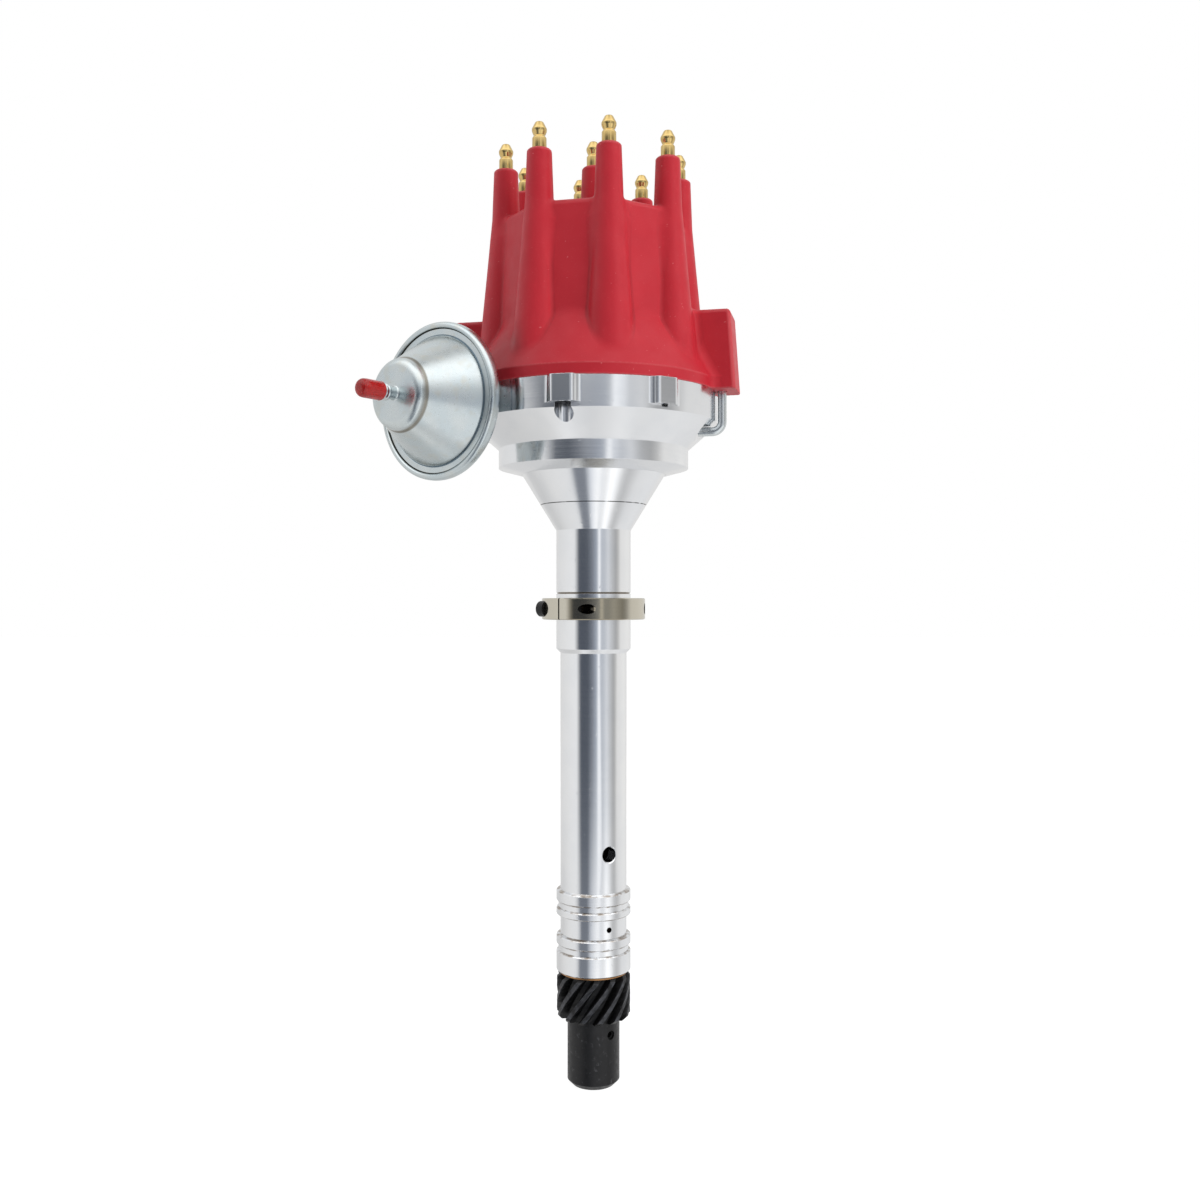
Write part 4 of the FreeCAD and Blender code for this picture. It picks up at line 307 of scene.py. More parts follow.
class Surface:
    """A material in the making: its node tree, its main shader and its place in millimetres."""

    def __init__(self, name, color, roughness, metallic=0.0):
        self.material = bpy.data.materials.new(name)
        self.material.use_nodes = True
        self.tree = self.material.node_tree
        self.shader = self.tree.nodes["Principled BSDF"]
        self.shader.inputs["Base Color"].default_value = (*color, 1.0)
        self.shader.inputs["Roughness"].default_value = roughness
        self.shader.inputs["Metallic"].default_value = metallic
        place = self.tree.nodes.new("ShaderNodeTexCoord")
        scale = self.tree.nodes.new("ShaderNodeVectorMath")
        scale.operation = "SCALE"
        scale.inputs["Scale"].default_value = 1 / MM
        self.link(place.outputs["Object"], scale.inputs[0])
        self.place = scale.outputs[0]
        self.normal = None

    def link(self, output, socket):
        self.tree.links.new(output, socket)

    def coordinate(self, name):
        """One coordinate of the place."""
        split = self.tree.nodes.new("ShaderNodeSeparateXYZ")
        self.link(self.place, split.inputs[0])
        return split.outputs[name]

    def reach(self):
        """Distance from the axis of turning."""
        flat = self.tree.nodes.new("ShaderNodeCombineXYZ")
        for name in ("X", "Y"):
            self.link(self.coordinate(name), flat.inputs[name])
        length = self.tree.nodes.new("ShaderNodeVectorMath")
        length.operation = "LENGTH"
        self.link(flat.outputs[0], length.inputs[0])
        return length.outputs["Value"]

    def turned_place(self):
        """Coordinates that only change with the reach and height, for turning marks."""
        turned = self.tree.nodes.new("ShaderNodeCombineXYZ")
        self.link(self.reach(), turned.inputs["X"])
        self.link(self.coordinate("Z"), turned.inputs["Z"])
        return turned.outputs[0]

    def attribute(self, name):
        node = self.tree.nodes.new("ShaderNodeAttribute")
        node.attribute_name = name
        return node.outputs["Fac"]

    def noise(self, size, detail=2.0, at=None, roughness=0.5):
        """Noise whose blobs are about a size in millimetres."""
        node = self.tree.nodes.new("ShaderNodeTexNoise")
        node.inputs["Scale"].default_value = 1 / size
        node.inputs["Detail"].default_value = detail
        node.inputs["Roughness"].default_value = roughness
        self.link(self.place if at is None else at, node.inputs["Vector"])
        return node.outputs["Fac"]

    def ramp(self, value, low, high, start=0.0, end=1.0):
        """Straight ramp of a value between two limits."""
        node = self.tree.nodes.new("ShaderNodeMapRange")
        node.inputs["From Min"].default_value = low
        node.inputs["From Max"].default_value = high
        node.inputs["To Min"].default_value = start
        node.inputs["To Max"].default_value = end
        self.link(value, node.inputs["Value"])
        return node.outputs["Result"]

    def both(self, first, second):
        return math_node(self.tree, "MULTIPLY", first, second)

    def away(self, value, at):
        """How far a value is from a mark."""
        return math_node(self.tree, "ABSOLUTE", math_node(self.tree, "SUBTRACT", value, at))

    def near(self, value, at, reach):
        """1 where a value is at a mark, falling to 0 a reach away from it."""
        return self.ramp(self.away(value, at), 0.4 * reach, reach, 1.0, 0.0)

    def tint(self, share, color):
        """Mix a colour over what the shader has, by a share."""
        node = self.tree.nodes.new("ShaderNodeMix")
        node.data_type = "RGBA"
        base = self.shader.inputs["Base Color"]
        if base.is_linked:
            self.link(base.links[0].from_socket, node.inputs[6])
        else:
            node.inputs[6].default_value = base.default_value
        node.inputs[7].default_value = (*color, 1.0)
        self.link(share, node.inputs[0])
        self.link(node.outputs[2], base)

    def rough(self, value, low, high):
        """Roughness that follows a noise from low to high."""
        self.link(self.ramp(value, 0.3, 0.7, low, high), self.shader.inputs["Roughness"])

    def bump(self, value, depth):
        """Relief of a depth in millimetres, added to any relief before it."""
        node = self.tree.nodes.new("ShaderNodeBump")
        node.inputs["Distance"].default_value = depth * MM
        self.link(value, node.inputs["Height"])
        if self.normal is not None:
            self.link(self.normal, node.inputs["Normal"])
        self.normal = node.outputs["Normal"]
        self.link(self.normal, self.shader.inputs["Normal"])

    def soft_edges(self, radius):
        """Round sharp edges in the shading, by a radius in millimetres, before any relief."""
        node = self.tree.nodes.new("ShaderNodeBevel")
        node.samples = 4
        node.inputs["Radius"].default_value = radius * MM
        self.normal = node.outputs["Normal"]
        self.link(self.normal, self.shader.inputs["Normal"])

    def around_shaft(self):
        """Direction of the turning marks of a piece turned about Z."""
        tangent = self.tree.nodes.new("ShaderNodeTangent")
        tangent.direction_type = "RADIAL"
        tangent.axis = "Z"
        return tangent.outputs[0]

    def vector_node(self, operation, value, other=None):
        node = self.tree.nodes.new("ShaderNodeVectorMath")
        node.operation = operation
        self.link(value, node.inputs[0])
        if other is not None:
            node.inputs[1].default_value = other
        return node.outputs[0]

    def around_own_axis(self, matrix):
        """Direction of the turning marks about a matrix's Z. The place then counts from there."""
        origin, axis = matrix.translation / MM, matrix.col[2].to_3d()
        outwards = self.vector_node("SUBTRACT", self.place, origin)
        around = self.vector_node("CROSS_PRODUCT", outwards, axis)
        own = self.tree.nodes.new("ShaderNodeMapping")
        own.vector_type = "TEXTURE"
        own.inputs["Location"].default_value = origin
        own.inputs["Rotation"].default_value = matrix.to_euler()
        self.link(self.place, own.inputs["Vector"])
        self.place = own.outputs["Vector"]
        return self.vector_node("NORMALIZE", around)

    def brushed(self, amount, direction):
        """Stretch highlights across the turning marks, so upright reflections stay sharp."""
        self.shader.inputs["Anisotropic"].default_value = amount
        self.shader.inputs["Anisotropic Rotation"].default_value = 0.25
        self.link(direction, self.shader.inputs["Tangent"])


def red_plastic():
    """Moulded red, with painted highlight where it curves outwards and painted shade in its valleys.
    """
    s = Surface("red_plastic", (0.50, 0.018, 0.031), 0.5)
    s.tint(s.ramp(s.noise(14.0), 0.35, 0.65, 0.0, 0.5), (0.55, 0.026, 0.040))
    s.tint(s.ramp(s.noise(0.9, 3.0), 0.60, 0.80, 0.0, 0.22), (0.58, 0.085, 0.095))
    s.tint(s.ramp(s.noise(1.6), 0.735, 0.76, 0.0, 0.35), (0.75, 0.30, 0.30))
    bend = s.attribute("bend")
    # Painted highlight on outward curves and painted shade in inward curves, by the surface's bend
    s.tint(s.ramp(bend, 0.22, 0.60, 0.0, 0.32), (0.62, 0.13, 0.14))
    s.tint(s.ramp(bend, -0.10, -0.70, 0.0, 0.62), (0.25, 0.009, 0.015))
    s.rough(s.noise(6.0), 0.42, 0.52)
    s.bump(s.noise(0.45), 0.018)
    s.shader.inputs["Specular IOR Level"].default_value = 0.38
    return s.material


# Heights of the stem's groove edges, of its fine line and of the seam in its cone, and how
# far from them each mark fades out
GROOVE_EDGES = (4.25, 6.95, 10.85, 19.35, 22.35, 25.05, 29.65)
GROOVE_REACH = 0.55
SCRIBE_LINE = 154.95
SCRIBE_REACH = 0.5
SEAM_LINE = 192.25
SEAM_REACH = 0.24


def turned_aluminium():
    s = Surface("turned_aluminium", (0.82, 0.83, 0.845), 0.16, 1.0)
    s.soft_edges(0.25)
    marks = s.noise(0.35, 3.0, s.turned_place(), 0.7)
    s.rough(marks, 0.11, 0.21)
    s.tint(s.ramp(s.noise(9.0), 0.4, 0.65, 0.0, 0.3), (0.74, 0.76, 0.79))
    height = s.coordinate("Z")
    patches = s.noise(3.5, 3.0)
    # Patchy brownish darkening along the groove edges
    patchy_darkening = s.ramp(patches, 0.42, 0.62, 0.0, 0.8)
    for edge in GROOVE_EDGES:
        s.tint(s.both(s.near(height, edge, GROOVE_REACH), patchy_darkening), (0.25, 0.19, 0.13))
    s.tint(s.near(height, SCRIBE_LINE, SCRIBE_REACH), (0.20, 0.17, 0.13))
    worn = s.ramp(patches, 0.34, 0.46, 0.1, 1.0)
    s.tint(s.both(s.near(height, SEAM_LINE, SEAM_REACH), worn), (0.06, 0.06, 0.06))
    s.bump(marks, 0.0035)
    s.bump(s.ramp(s.noise(2.2, 3.0), 0.70, 0.76), 0.03)
    s.brushed(0.5, s.around_shaft())
    return s.material


def gold_brass():
    s = Surface("gold_brass", (0.66, 0.485, 0.20), 0.12, 1.0)
    s.rough(s.noise(0.8), 0.07, 0.15)
    s.tint(s.ramp(s.noise(2.0), 0.45, 0.65, 0.0, 0.5), (0.56, 0.38, 0.14))
    s.bump(s.noise(0.5), 0.004)
    return s.material


def zinc_plate():
    s = Surface("zinc_plate", (0.66, 0.69, 0.69), 0.26, 1.0)
    s.tint(s.ramp(s.noise(7.0, 3.0), 0.42, 0.62, 0.0, 0.55), (0.60, 0.655, 0.69))
    s.tint(s.ramp(s.noise(5.0, 4.0), 0.56, 0.70, 0.0, 0.35), (0.72, 0.70, 0.60))
    s.tint(s.ramp(s.noise(0.55, 3.0), 0.66, 0.74, 0.0, 0.45), (0.30, 0.30, 0.29))
    s.rough(s.noise(1.4, 4.0), 0.18, 0.34)
    s.bump(s.noise(0.5), 0.003)
    s.bump(s.noise(2.6), 0.012)
    return s.material


# Dark lines of the canister: distance from its axis, how far they fade out, and colour
CANISTER_LINES = (
    # The bluish line at 26.15, where the flat ring meets the cone, is painted shade in that crease
    (28.85, 0.34, (0.08, 0.075, 0.06)), (26.15, 0.36, (0.20, 0.26, 0.31)),
    (14.35, 0.50, (0.26, 0.25, 0.22)),
)


def canister_zinc():
    """Bright zinc with highlights drawn out along the cone."""
    s = Surface("canister_zinc", (0.60, 0.645, 0.65), 0.28, 1.0)
    s.brushed(0.4, s.around_own_axis(canister_matrix()))
    s.tint(s.ramp(s.noise(9.0), 0.40, 0.62, 0.0, 0.5), (0.52, 0.60, 0.635))
    s.tint(s.ramp(s.noise(6.0, 3.0), 0.54, 0.70, 0.0, 0.4), (0.60, 0.57, 0.48))
    s.tint(s.ramp(s.noise(0.8, 4.0), 0.62, 0.76, 0.0, 0.45), (0.34, 0.33, 0.29))
    reach = s.reach()
    # Dark lines round the axis; the bluish one at the cone's border is painted shade
    for ring, width, color in CANISTER_LINES:
        s.tint(s.near(reach, ring, width), color)
    s.rough(s.noise(3.0, 3.0), 0.24, 0.34)
    s.bump(s.noise(4.0), 0.014)
    s.bump(s.noise(0.9, 3.0), 0.002)
    return s.material


# Middle of the collar's dark front, and how far from it the sides grow bright with a painted
# reflection
COLLAR_FRONT = 1.5
COLLAR_SIDES = (10.5, 13.0)
# Where painted shade darkens the collar's bores: under its outer face and between its two rims
COLLAR_SKIN = (21.5, 21.2)
COLLAR_RIMS = (3.8, 3.6)


def brushed_nickel():
    """Nickel with a painted reflection that brightens the collar's sides, and painted shade in its
    bores.
    """
    s = Surface("brushed_nickel", (0.36, 0.325, 0.25), 0.2, 1.0)
    marks = s.noise(0.28, 3.0, s.turned_place(), 0.75)
    s.rough(marks, 0.12, 0.22)
    s.tint(s.ramp(marks, 0.5, 0.7, 0.0, 0.35), (0.27, 0.24, 0.18))
    # Painted reflection brightening the collar's sides
    sideways = s.away(s.coordinate("X"), COLLAR_FRONT)
    s.tint(s.ramp(sideways, *COLLAR_SIDES, 0.0, 0.9), (0.60, 0.57, 0.49))
    # Painted shade inside the collar's bores
    between_rims = s.ramp(s.away(s.coordinate("Z"), collar_middle), *COLLAR_RIMS)
    s.tint(s.both(s.ramp(s.reach(), *COLLAR_SKIN), between_rims), (0.07, 0.062, 0.048))
    s.bump(marks, 0.005)
    s.brushed(0.7, s.around_shaft())
    return s.material


def black_steel(name="black_steel", edge=0.0):
    """Blackened steel in the making, with soft edges where a radius is given."""
    s = Surface(name, (0.019, 0.019, 0.020), 0.34, 0.55)
    if edge:
        s.soft_edges(edge)
    s.rough(s.noise(2.0, 4.0), 0.30, 0.50)
    s.tint(s.ramp(s.noise(2.4, 6.0, roughness=0.7), 0.58, 0.72, 0.0, 0.6), (0.12, 0.12, 0.13))
    s.bump(s.noise(0.4, 3.0), 0.01)
    return s


# Lower end of the gear's teeth, the height over which their tints fade in, and the radii between
# which the painted highlight on the crests and the painted shade in the valleys fade in
GEAR_TEETH_LOW = -24.3
GEAR_TEETH_FADE = 0.2
GEAR_CREST = (15.0, 15.5)
GEAR_VALLEY = (15.0, 13.6)


def gear_steel():
    """Black steel with a painted highlight on the crests of the teeth and painted shade between them.
    """
    s = black_steel("gear_steel", 0.3)
    reach = s.reach()
    teeth = s.ramp(s.coordinate("Z"), GEAR_TEETH_LOW, GEAR_TEETH_LOW + GEAR_TEETH_FADE)
    crest = s.both(teeth, s.ramp(reach, *GEAR_CREST, 0.0, 0.8))
    valley = s.both(teeth, s.ramp(reach, *GEAR_VALLEY, 0.0, 0.7))
    # Painted shade between the teeth
    s.tint(valley, (0.006, 0.006, 0.006))
    # Painted highlight on the crests, in patches
    s.tint(s.both(crest, s.ramp(s.noise(3.0, 3.0), 0.35, 0.65)), (0.085, 0.088, 0.10))
    return s.material


def ground_steel():
    s = Surface("ground_steel", (0.50, 0.50, 0.51), 0.26, 1.0)
    marks = s.noise(0.3, 3.0, s.turned_place(), 0.7)
    s.rough(marks, 0.2, 0.34)
    s.bump(marks, 0.004)
    return s.material


def bronze():
    s = Surface("bronze", (0.46, 0.25, 0.115), 0.32, 1.0)
    s.tint(s.ramp(s.noise(1.5, 3.0), 0.5, 0.7, 0.0, 0.6), (0.28, 0.14, 0.07))
    s.rough(s.noise(0.8), 0.26, 0.42)
    s.bump(s.noise(0.3), 0.004)
    return s.material


def sintered_iron():
    s = Surface("sintered_iron", (0.20, 0.20, 0.21), 0.5, 0.8)
    s.tint(s.ramp(s.noise(0.5, 3.0), 0.55, 0.7, 0.0, 0.5), (0.10, 0.10, 0.105))
    s.rough(s.noise(0.7), 0.42, 0.6)
    s.bump(s.noise(0.4, 3.0), 0.02)
    return s.material


def black_plastic():
    s = Surface("black_plastic", (0.022, 0.022, 0.025), 0.45)
    s.rough(s.noise(1.0), 0.38, 0.55)
    s.bump(s.noise(0.4), 0.012)
    return s.material


def black_rubber():
    s = Surface("black_rubber", (0.018, 0.018, 0.018), 0.75)
    s.rough(s.noise(1.0), 0.65, 0.85)
    s.bump(s.noise(0.5, 3.0), 0.02)
    return s.material


def red_vinyl():
    s = Surface("red_vinyl", (0.40, 0.008, 0.007), 0.2)
    s.shader.inputs["Subsurface Weight"].default_value = 0.25
    s.shader.inputs["Subsurface Radius"].default_value = (1.0, 0.1, 0.1)
    s.shader.inputs["Subsurface Scale"].default_value = 1.5 * MM
    s.rough(s.noise(2.0), 0.15, 0.28)
    s.bump(s.noise(1.2), 0.02)
    return s.material


def carbon():
    s = Surface("carbon", (0.02, 0.02, 0.021), 0.6)
    s.rough(s.noise(0.5), 0.5, 0.7)
    s.bump(s.noise(0.3), 0.01)
    return s.material


# Mesh helpers

def add_piece(mesh, material, body):
    """Piece of a mesh, under the mesh's name, that rides on a body."""
    mesh.materials.append(material)
    piece = bpy.data.objects.new(mesh.name, mesh)
    bpy.context.collection.objects.link(piece)
    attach(piece, body)
    return piece


def new_piece(name, vertices, faces, material, body, smooth_angle, place):
    """Piece from points in millimetres, set by a matrix; edges sharper than the angle stay crisp."""
    mesh = bpy.data.meshes.new(name)
    mesh.from_pydata([tuple(MM * c for c in v) for v in vertices], [], faces)
    mesh.validate()
    work = bmesh.new()
    work.from_mesh(mesh)
    bmesh.ops.remove_doubles(work, verts=work.verts, dist=1e-7)
    bmesh.ops.recalc_face_normals(work, faces=work.faces)
    for face in work.faces:
        face.smooth = True
    limit = math.radians(smooth_angle)
    for line in work.edges:
        if len(line.link_faces) == 2 and line.calc_face_angle(0.0) > limit:
            line.smooth = False
    work.to_mesh(mesh)
    work.free()
    mesh.transform(place)
    return add_piece(mesh, material, body)


def rounded(points, radius, steps):
    """Profile points with each corner replaced by a small arc; ends stay."""
    result = [points[0]]
    for before, corner, after in zip(points, points[1:], points[2:]):
        p, c, n = (np.array(q, float) for q in (before, corner, after))
        to_p, to_n = p - c, n - c
        reach = min(radius, np.linalg.norm(to_p) * 0.45, np.linalg.norm(to_n) * 0.45)
        start = c + to_p / np.linalg.norm(to_p) * reach
        end = c + to_n / np.linalg.norm(to_n) * reach
        for k in range(steps + 1):
            t = k / steps
            result.append(tuple((1 - t) ** 2 * start + 2 * t * (1 - t) * c + t ** 2 * end))
    result.append(points[-1])
    return result


def lathe(profile, segments):
    """Vertices and faces of (radius, height) points turned about Z."""
    vertices, faces = [], []
    for radius, height in profile:
        for k in range(segments):
            turn = 2 * math.pi * k / segments
            vertices.append((radius * math.cos(turn), radius * math.sin(turn), height))
    for row in range(len(profile) - 1):
        for k in range(segments):
            after = (k + 1) % segments
            a, b = row * segments + k, row * segments + after
            faces.append((a, b, b + segments, a + segments))
    return vertices, faces


def polar(radius, angle):
    turn = math.radians(angle)
    return radius * math.sin(turn), -radius * math.cos(turn)


# Towers of the cap, and the snap terminals on them: (radius, height from the solid's tip)

TOWER_COUNT = 8
TOWER_STEP = 360.0 / TOWER_COUNT
TOWER_FIRST_ANGLE = 9.75
TOWER_CIRCLE = 37.2
TERMINAL_PROFILE = (
    (2.5, -13.5), (2.5, -11.5), (2.9, -11.5), (2.9, -7.0), (2.35, -6.2), (2.35, -5.9),
    (3.0, -4.3), (3.05, -3.3), (1.75, -0.75), (1.45, -0.5), (0.0, -0.5),
)
TERMINAL_EDGE = 0.25


def tower_places():
    return [polar(TOWER_CIRCLE, TOWER_FIRST_ANGLE + k * TOWER_STEP) for k in range(TOWER_COUNT)]


def terminal(name, place, height, material):
    """Snap terminal at a place and height."""
    vertices, faces = lathe(rounded(TERMINAL_PROFILE, TERMINAL_EDGE, 3), 48)
    spot = Matrix.Translation(Vector((*place, height)) * MM)
    return new_piece(name, vertices, faces, material, "housing", 50.0, spot)


def make_terminals(material):
    for count, place in enumerate(tower_places(), 1):
        piece = terminal("plug_terminal_%d" % count, place, terminal_top, material)
        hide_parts("plug_terminals")
    centre = terminal("coil_terminal_snap", (0.0, 0.0), coil_top, material)
    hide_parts("coil_terminal")


# Cap: one moulded shape given by its distance field, so that ribs, skirt and ears run together

CAP_TOP = 311.0
CAP_CEILING = 307.0
BAND_TOP = 243.0
FLANGE_RADIUS = 52.5
FLAT_TOP = 37.6
FLAT_LEAN = 4.0 / 68.0
EDGE_ROUND = 2.6
FLARE_HEIGHT = 22.5
FLARE_DEPTH = 12.2
FLARE_BOW = 0.05
FLARE_BLEND = 1.0
RIB_FOOT = (244.4, 9.8)
RIB_LEAN = 0.031
RIB_HEAD = (311.0, 5.8)
RIB_OVERLAP = 1.0
TOWER_RADIUS = 5.0
TOWER_TOP = 332.0
CENTRE_TOWER_TOP = 335.5
TOWER_BEVEL = 0.75
RIB_BLEND_HEIGHTS = (284.0, 303.0, 309.0)
RIB_BLENDS = (1.0, 3.2, 1.6)
TOWER_BLEND = 1.6
EAR_ANGLES = (77.25, 257.25)
EAR_RADIUS = 61.4
EAR_HALF_WIDTH = 9.5
EAR_ROOT = 28.5
EAR_TOP = 271.0
EAR_TAPER = 2.3
EAR_SIDE_ROUND = 1.6
EAR_TOP_ROUND = 1.8
EAR_BLEND = 4.5
LATCH_RADIUS = 54.8
LATCH_BORE = 3.35
LATCH_BORE_FLOOR = 250.0
LATCH_ROD_HOLE = 2.1
# Hollow of the cap: heights and radii
CAVITY = ((238.4, 48.5), (244.4, 48.5), (256.0, 41.4), (266.4, 37.6), (307.0, 34.8))
# Grid of the surface net: its two corners, its step and how many layers are worked out at once
CAP_GRID = ((-62.5, -53.5, 237.0), (62.5, 53.5, 336.5))
CAP_STEP = 0.55
NET_SLAB = 12


def soft_union(a, b, blend):
    near = np.maximum(blend - np.abs(a - b), 0) / blend
    return np.minimum(a, b) - near * near * blend / 4


def rounded_meet(a, b, radius):
    """Overlap of two half spaces, with a round edge between them."""
    out = np.hypot(np.maximum(a + radius, 0), np.maximum(b + radius, 0))
    return np.minimum(np.maximum(a, b), -radius) + out


def upright_cone(x, y, z, place, low, high):
    """Distance to a cone about an upright line, from (height, radius) to (height, radius)."""
    slope = (high[1] - low[1]) / (high[0] - low[0])
    radius = low[1] + (z - low[0]) * slope
    return (np.hypot(x - place[0], y - place[1]) - radius) / math.hypot(1, slope)


def cap_panels(x, y, z):
    """Flat leaning sides under a flat top."""
    side = np.full(x.shape, -1e3, x.dtype)
    for k in range(TOWER_COUNT):
        turn = math.radians(TOWER_FIRST_ANGLE + (k + 0.5) * TOWER_STEP)
        side = np.maximum(side, x * math.sin(turn) - y * math.cos(turn))
    side = (side - FLAT_TOP - (CAP_TOP - z) * FLAT_LEAN) / math.hypot(1, FLAT_LEAN)
    return rounded_meet(side, z - CAP_TOP, EDGE_ROUND)


def cap_skirt(x, y, z):
    """Slightly bowed flare of the panels, down to an upright band."""
    share = np.maximum(z - BAND_TOP, 0) / FLARE_HEIGHT
    bowed = np.where(share < 1, (1 + FLARE_BOW) * share - FLARE_BOW * share ** 2,
                     1 + (1 - FLARE_BOW) * (share - 1))
    slope = FLARE_DEPTH * (1 + FLARE_BOW - 2 * FLARE_BOW * np.minimum(share, 1)) / FLARE_HEIGHT
    steepness = np.hypot(1, np.where(share > 0, slope, 0))
    skirt = (np.hypot(x, y) - FLANGE_RADIUS + FLARE_DEPTH * bowed) / steepness
    return np.maximum(skirt, z - CAP_TOP + 2 * EDGE_ROUND)


def capped_tower(x, y, z, place, height):
    side = upright_cone(x, y, z, place, RIB_HEAD, (TOWER_TOP, TOWER_RADIUS))
    bevel = (side + z - height + TOWER_BEVEL) / math.sqrt(2)
    return np.maximum(np.maximum(side, z - height), bevel)


def cap_rib(x, y, z, place):
    """Rib that leans out towards its foot, and the tower that stands on it."""
    lean = 1 + RIB_LEAN * np.maximum(CAP_TOP - z, 0) / TOWER_CIRCLE
    rib = upright_cone(x / lean, y / lean, z, place, RIB_FOOT, RIB_HEAD)
    rib = np.maximum(rib, z - CAP_TOP - RIB_OVERLAP)
    return np.where(z > CAP_TOP, capped_tower(x, y, z, place, TOWER_TOP), rib)


def cap_ear(x, y, z, angle):
    turn = math.radians(angle)
    out = x * math.sin(turn) - y * math.cos(turn)
    across = x * math.cos(turn) + y * math.sin(turn)
    reach = EAR_RADIUS - EAR_TAPER * (z - rim) / (EAR_TOP - rim)
    corner = rounded_meet(np.abs(across) - EAR_HALF_WIDTH, out - reach, EAR_SIDE_ROUND)
    return np.maximum(rounded_meet(corner, z - EAR_TOP, EAR_TOP_ROUND), EAR_ROOT - out)


def cap_hollows(x, y, z):
    """How deep a place is inside the cavity, under the rim or in a latch bore."""
    heights, widths = zip(*CAVITY)
    cavity = np.maximum(np.hypot(x, y) - np.interp(z, heights, widths), z - CAP_CEILING)
    depth = np.maximum(-cavity, rim - z)
    bore = np.where(z > LATCH_BORE_FLOOR, LATCH_BORE, LATCH_ROD_HOLE)
    for angle in EAR_ANGLES:
        place = polar(LATCH_RADIUS, angle)
        depth = np.maximum(depth, bore - np.hypot(x - place[0], y - place[1]))
    return depth


def cap_shape(x, y, z):
    """Signed distance to the cap's surface, in millimetres."""
    shape = soft_union(cap_panels(x, y, z), cap_skirt(x, y, z), FLARE_BLEND)
    blend = np.interp(z, RIB_BLEND_HEIGHTS, RIB_BLENDS)
    for place in tower_places():
        shape = soft_union(shape, cap_rib(x, y, z, place), blend)
    shape = soft_union(shape, capped_tower(x, y, z, (0.0, 0.0), CENTRE_TOWER_TOP), TOWER_BLEND)
    for angle in EAR_ANGLES:
        shape = soft_union(shape, cap_ear(x, y, z, angle), EAR_BLEND)
    return np.maximum(shape, cap_hollows(x, y, z))


# Surface net: a mesh around the surface of a distance field

CORNERS = [(i, j, k) for i in (0, 1) for j in (0, 1) for k in (0, 1)]


def field_values(shape, axes):
    """A distance field on a grid, worked out a few layers at a time."""
    values = np.empty([len(axis) for axis in axes], np.float32)
    for start in range(0, len(axes[0]), NET_SLAB):
        slab = slice(start, start + NET_SLAB)
        values[slab] = shape(*np.meshgrid(axes[0][slab], axes[1], axes[2], indexing="ij"))
    return values


def cell_points(values, cells):
    """Mean of the places where the surface crosses a cell's edges, in grid steps."""
    total = np.zeros((len(cells), 3))
    hits = np.zeros(len(cells))
    for a in CORNERS:
        for axis in range(3):
            if a[axis]:
                continue
            b = tuple(1 if n == axis else a[n] for n in range(3))
            va = values[tuple((cells + a).T)]
            vb = values[tuple((cells + b).T)]
            crossed = (va < 0) != (vb < 0)
            part = np.where(crossed, va / np.where(crossed, va - vb, 1), 0)
            place = cells + np.array(a) + part[:, None] * (np.array(b) - np.array(a))
            total += np.where(crossed[:, None], place, 0)
            hits += crossed
    return total / hits[:, None]


def edge_quads(inside, index):
    """A quad between the four cells around each grid edge that the surface crosses."""
    size = index.shape
    quads = []
    for axis in range(3):
        u, v = (axis + 1) % 3, (axis + 2) % 3
        near = np.take(inside, range(inside.shape[axis] - 1), axis)
        far = np.take(inside, range(1, inside.shape[axis]), axis)
        edges = np.argwhere(near != far)
        edges = edges[(edges[:, u] > 0) & (edges[:, v] > 0)]
        edges = edges[(edges[:, u] < size[u]) & (edges[:, v] < size[v])]
        unit_u, unit_v = np.eye(3, dtype=int)[u], np.eye(3, dtype=int)[v]
        ring = [edges - unit_u - unit_v, edges - unit_v, edges, edges - unit_u]
        quad = np.stack([index[tuple(cell.T)] for cell in ring], 1)
        flip = ~inside[tuple(edges.T)]
        quad[flip] = quad[flip][:, ::-1]
        quads.append(quad)
    return np.concatenate(quads)


def surface_net(shape, low, high, step):
    """Points and quads around the surface of a distance field, on a grid of a step."""
    axes = [np.arange(a, b + step, step, dtype=np.float32) for a, b in zip(low, high)]
    values = field_values(shape, axes)
    inside = values < 0
    size = [n - 1 for n in inside.shape]
    count = np.zeros(size, np.int8)
    for i, j, k in CORNERS:
        count += inside[i:i + size[0], j:j + size[1], k:k + size[2]]
    cells = np.argwhere((count > 0) & (count < len(CORNERS)))
    index = np.full(size, -1, np.int64)
    index[tuple(cells.T)] = np.arange(len(cells))
    return cell_points(values, cells) * step + np.array(low), edge_quads(inside, index)


# Steps for the slope that moves points onto the surface, for the slope that shades it, and for
# its bend
SLOPE_STEP = 0.02
SHADE_STEP = 0.12
BEND_STEP = 0.6
# Rounds and longest move of the settling, and the least squared slope that it divides by
SETTLE_ROUNDS = 4
SETTLE_REACH = 0.5
LEAST_SQUARE = 0.05


def slope_of(shape, points, step):
    """Outward direction of a distance field at points."""
    slopes = np.empty_like(points)
    for axis in range(3):
        ahead, behind = points.copy(), points.copy()
        ahead[:, axis] += step
        behind[:, axis] -= step
        slopes[:, axis] = (shape(*ahead.T) - shape(*behind.T)) / (2 * step)
    return slopes


def bend_of(shape, points):
    """How strongly a surface curves outwards (positive) or inwards, in 1/mm."""
    total = np.zeros(len(points))
    for axis in range(3):
        for side in (-BEND_STEP, BEND_STEP):
            near = points.copy()
            near[:, axis] += side
            total += shape(*near.T)
    return (total - 6 * shape(*points.T)) / BEND_STEP ** 2


def settle(shape, points):
    """Move points onto the surface of a distance field."""
    for _ in range(SETTLE_ROUNDS):
        slopes = slope_of(shape, points, SLOPE_STEP)
        size = np.maximum((slopes ** 2).sum(1), LEAST_SQUARE)
        step = -(shape(*points.T) / size)[:, None] * slopes
        points = points + np.clip(step, -SETTLE_REACH, SETTLE_REACH)
    return points


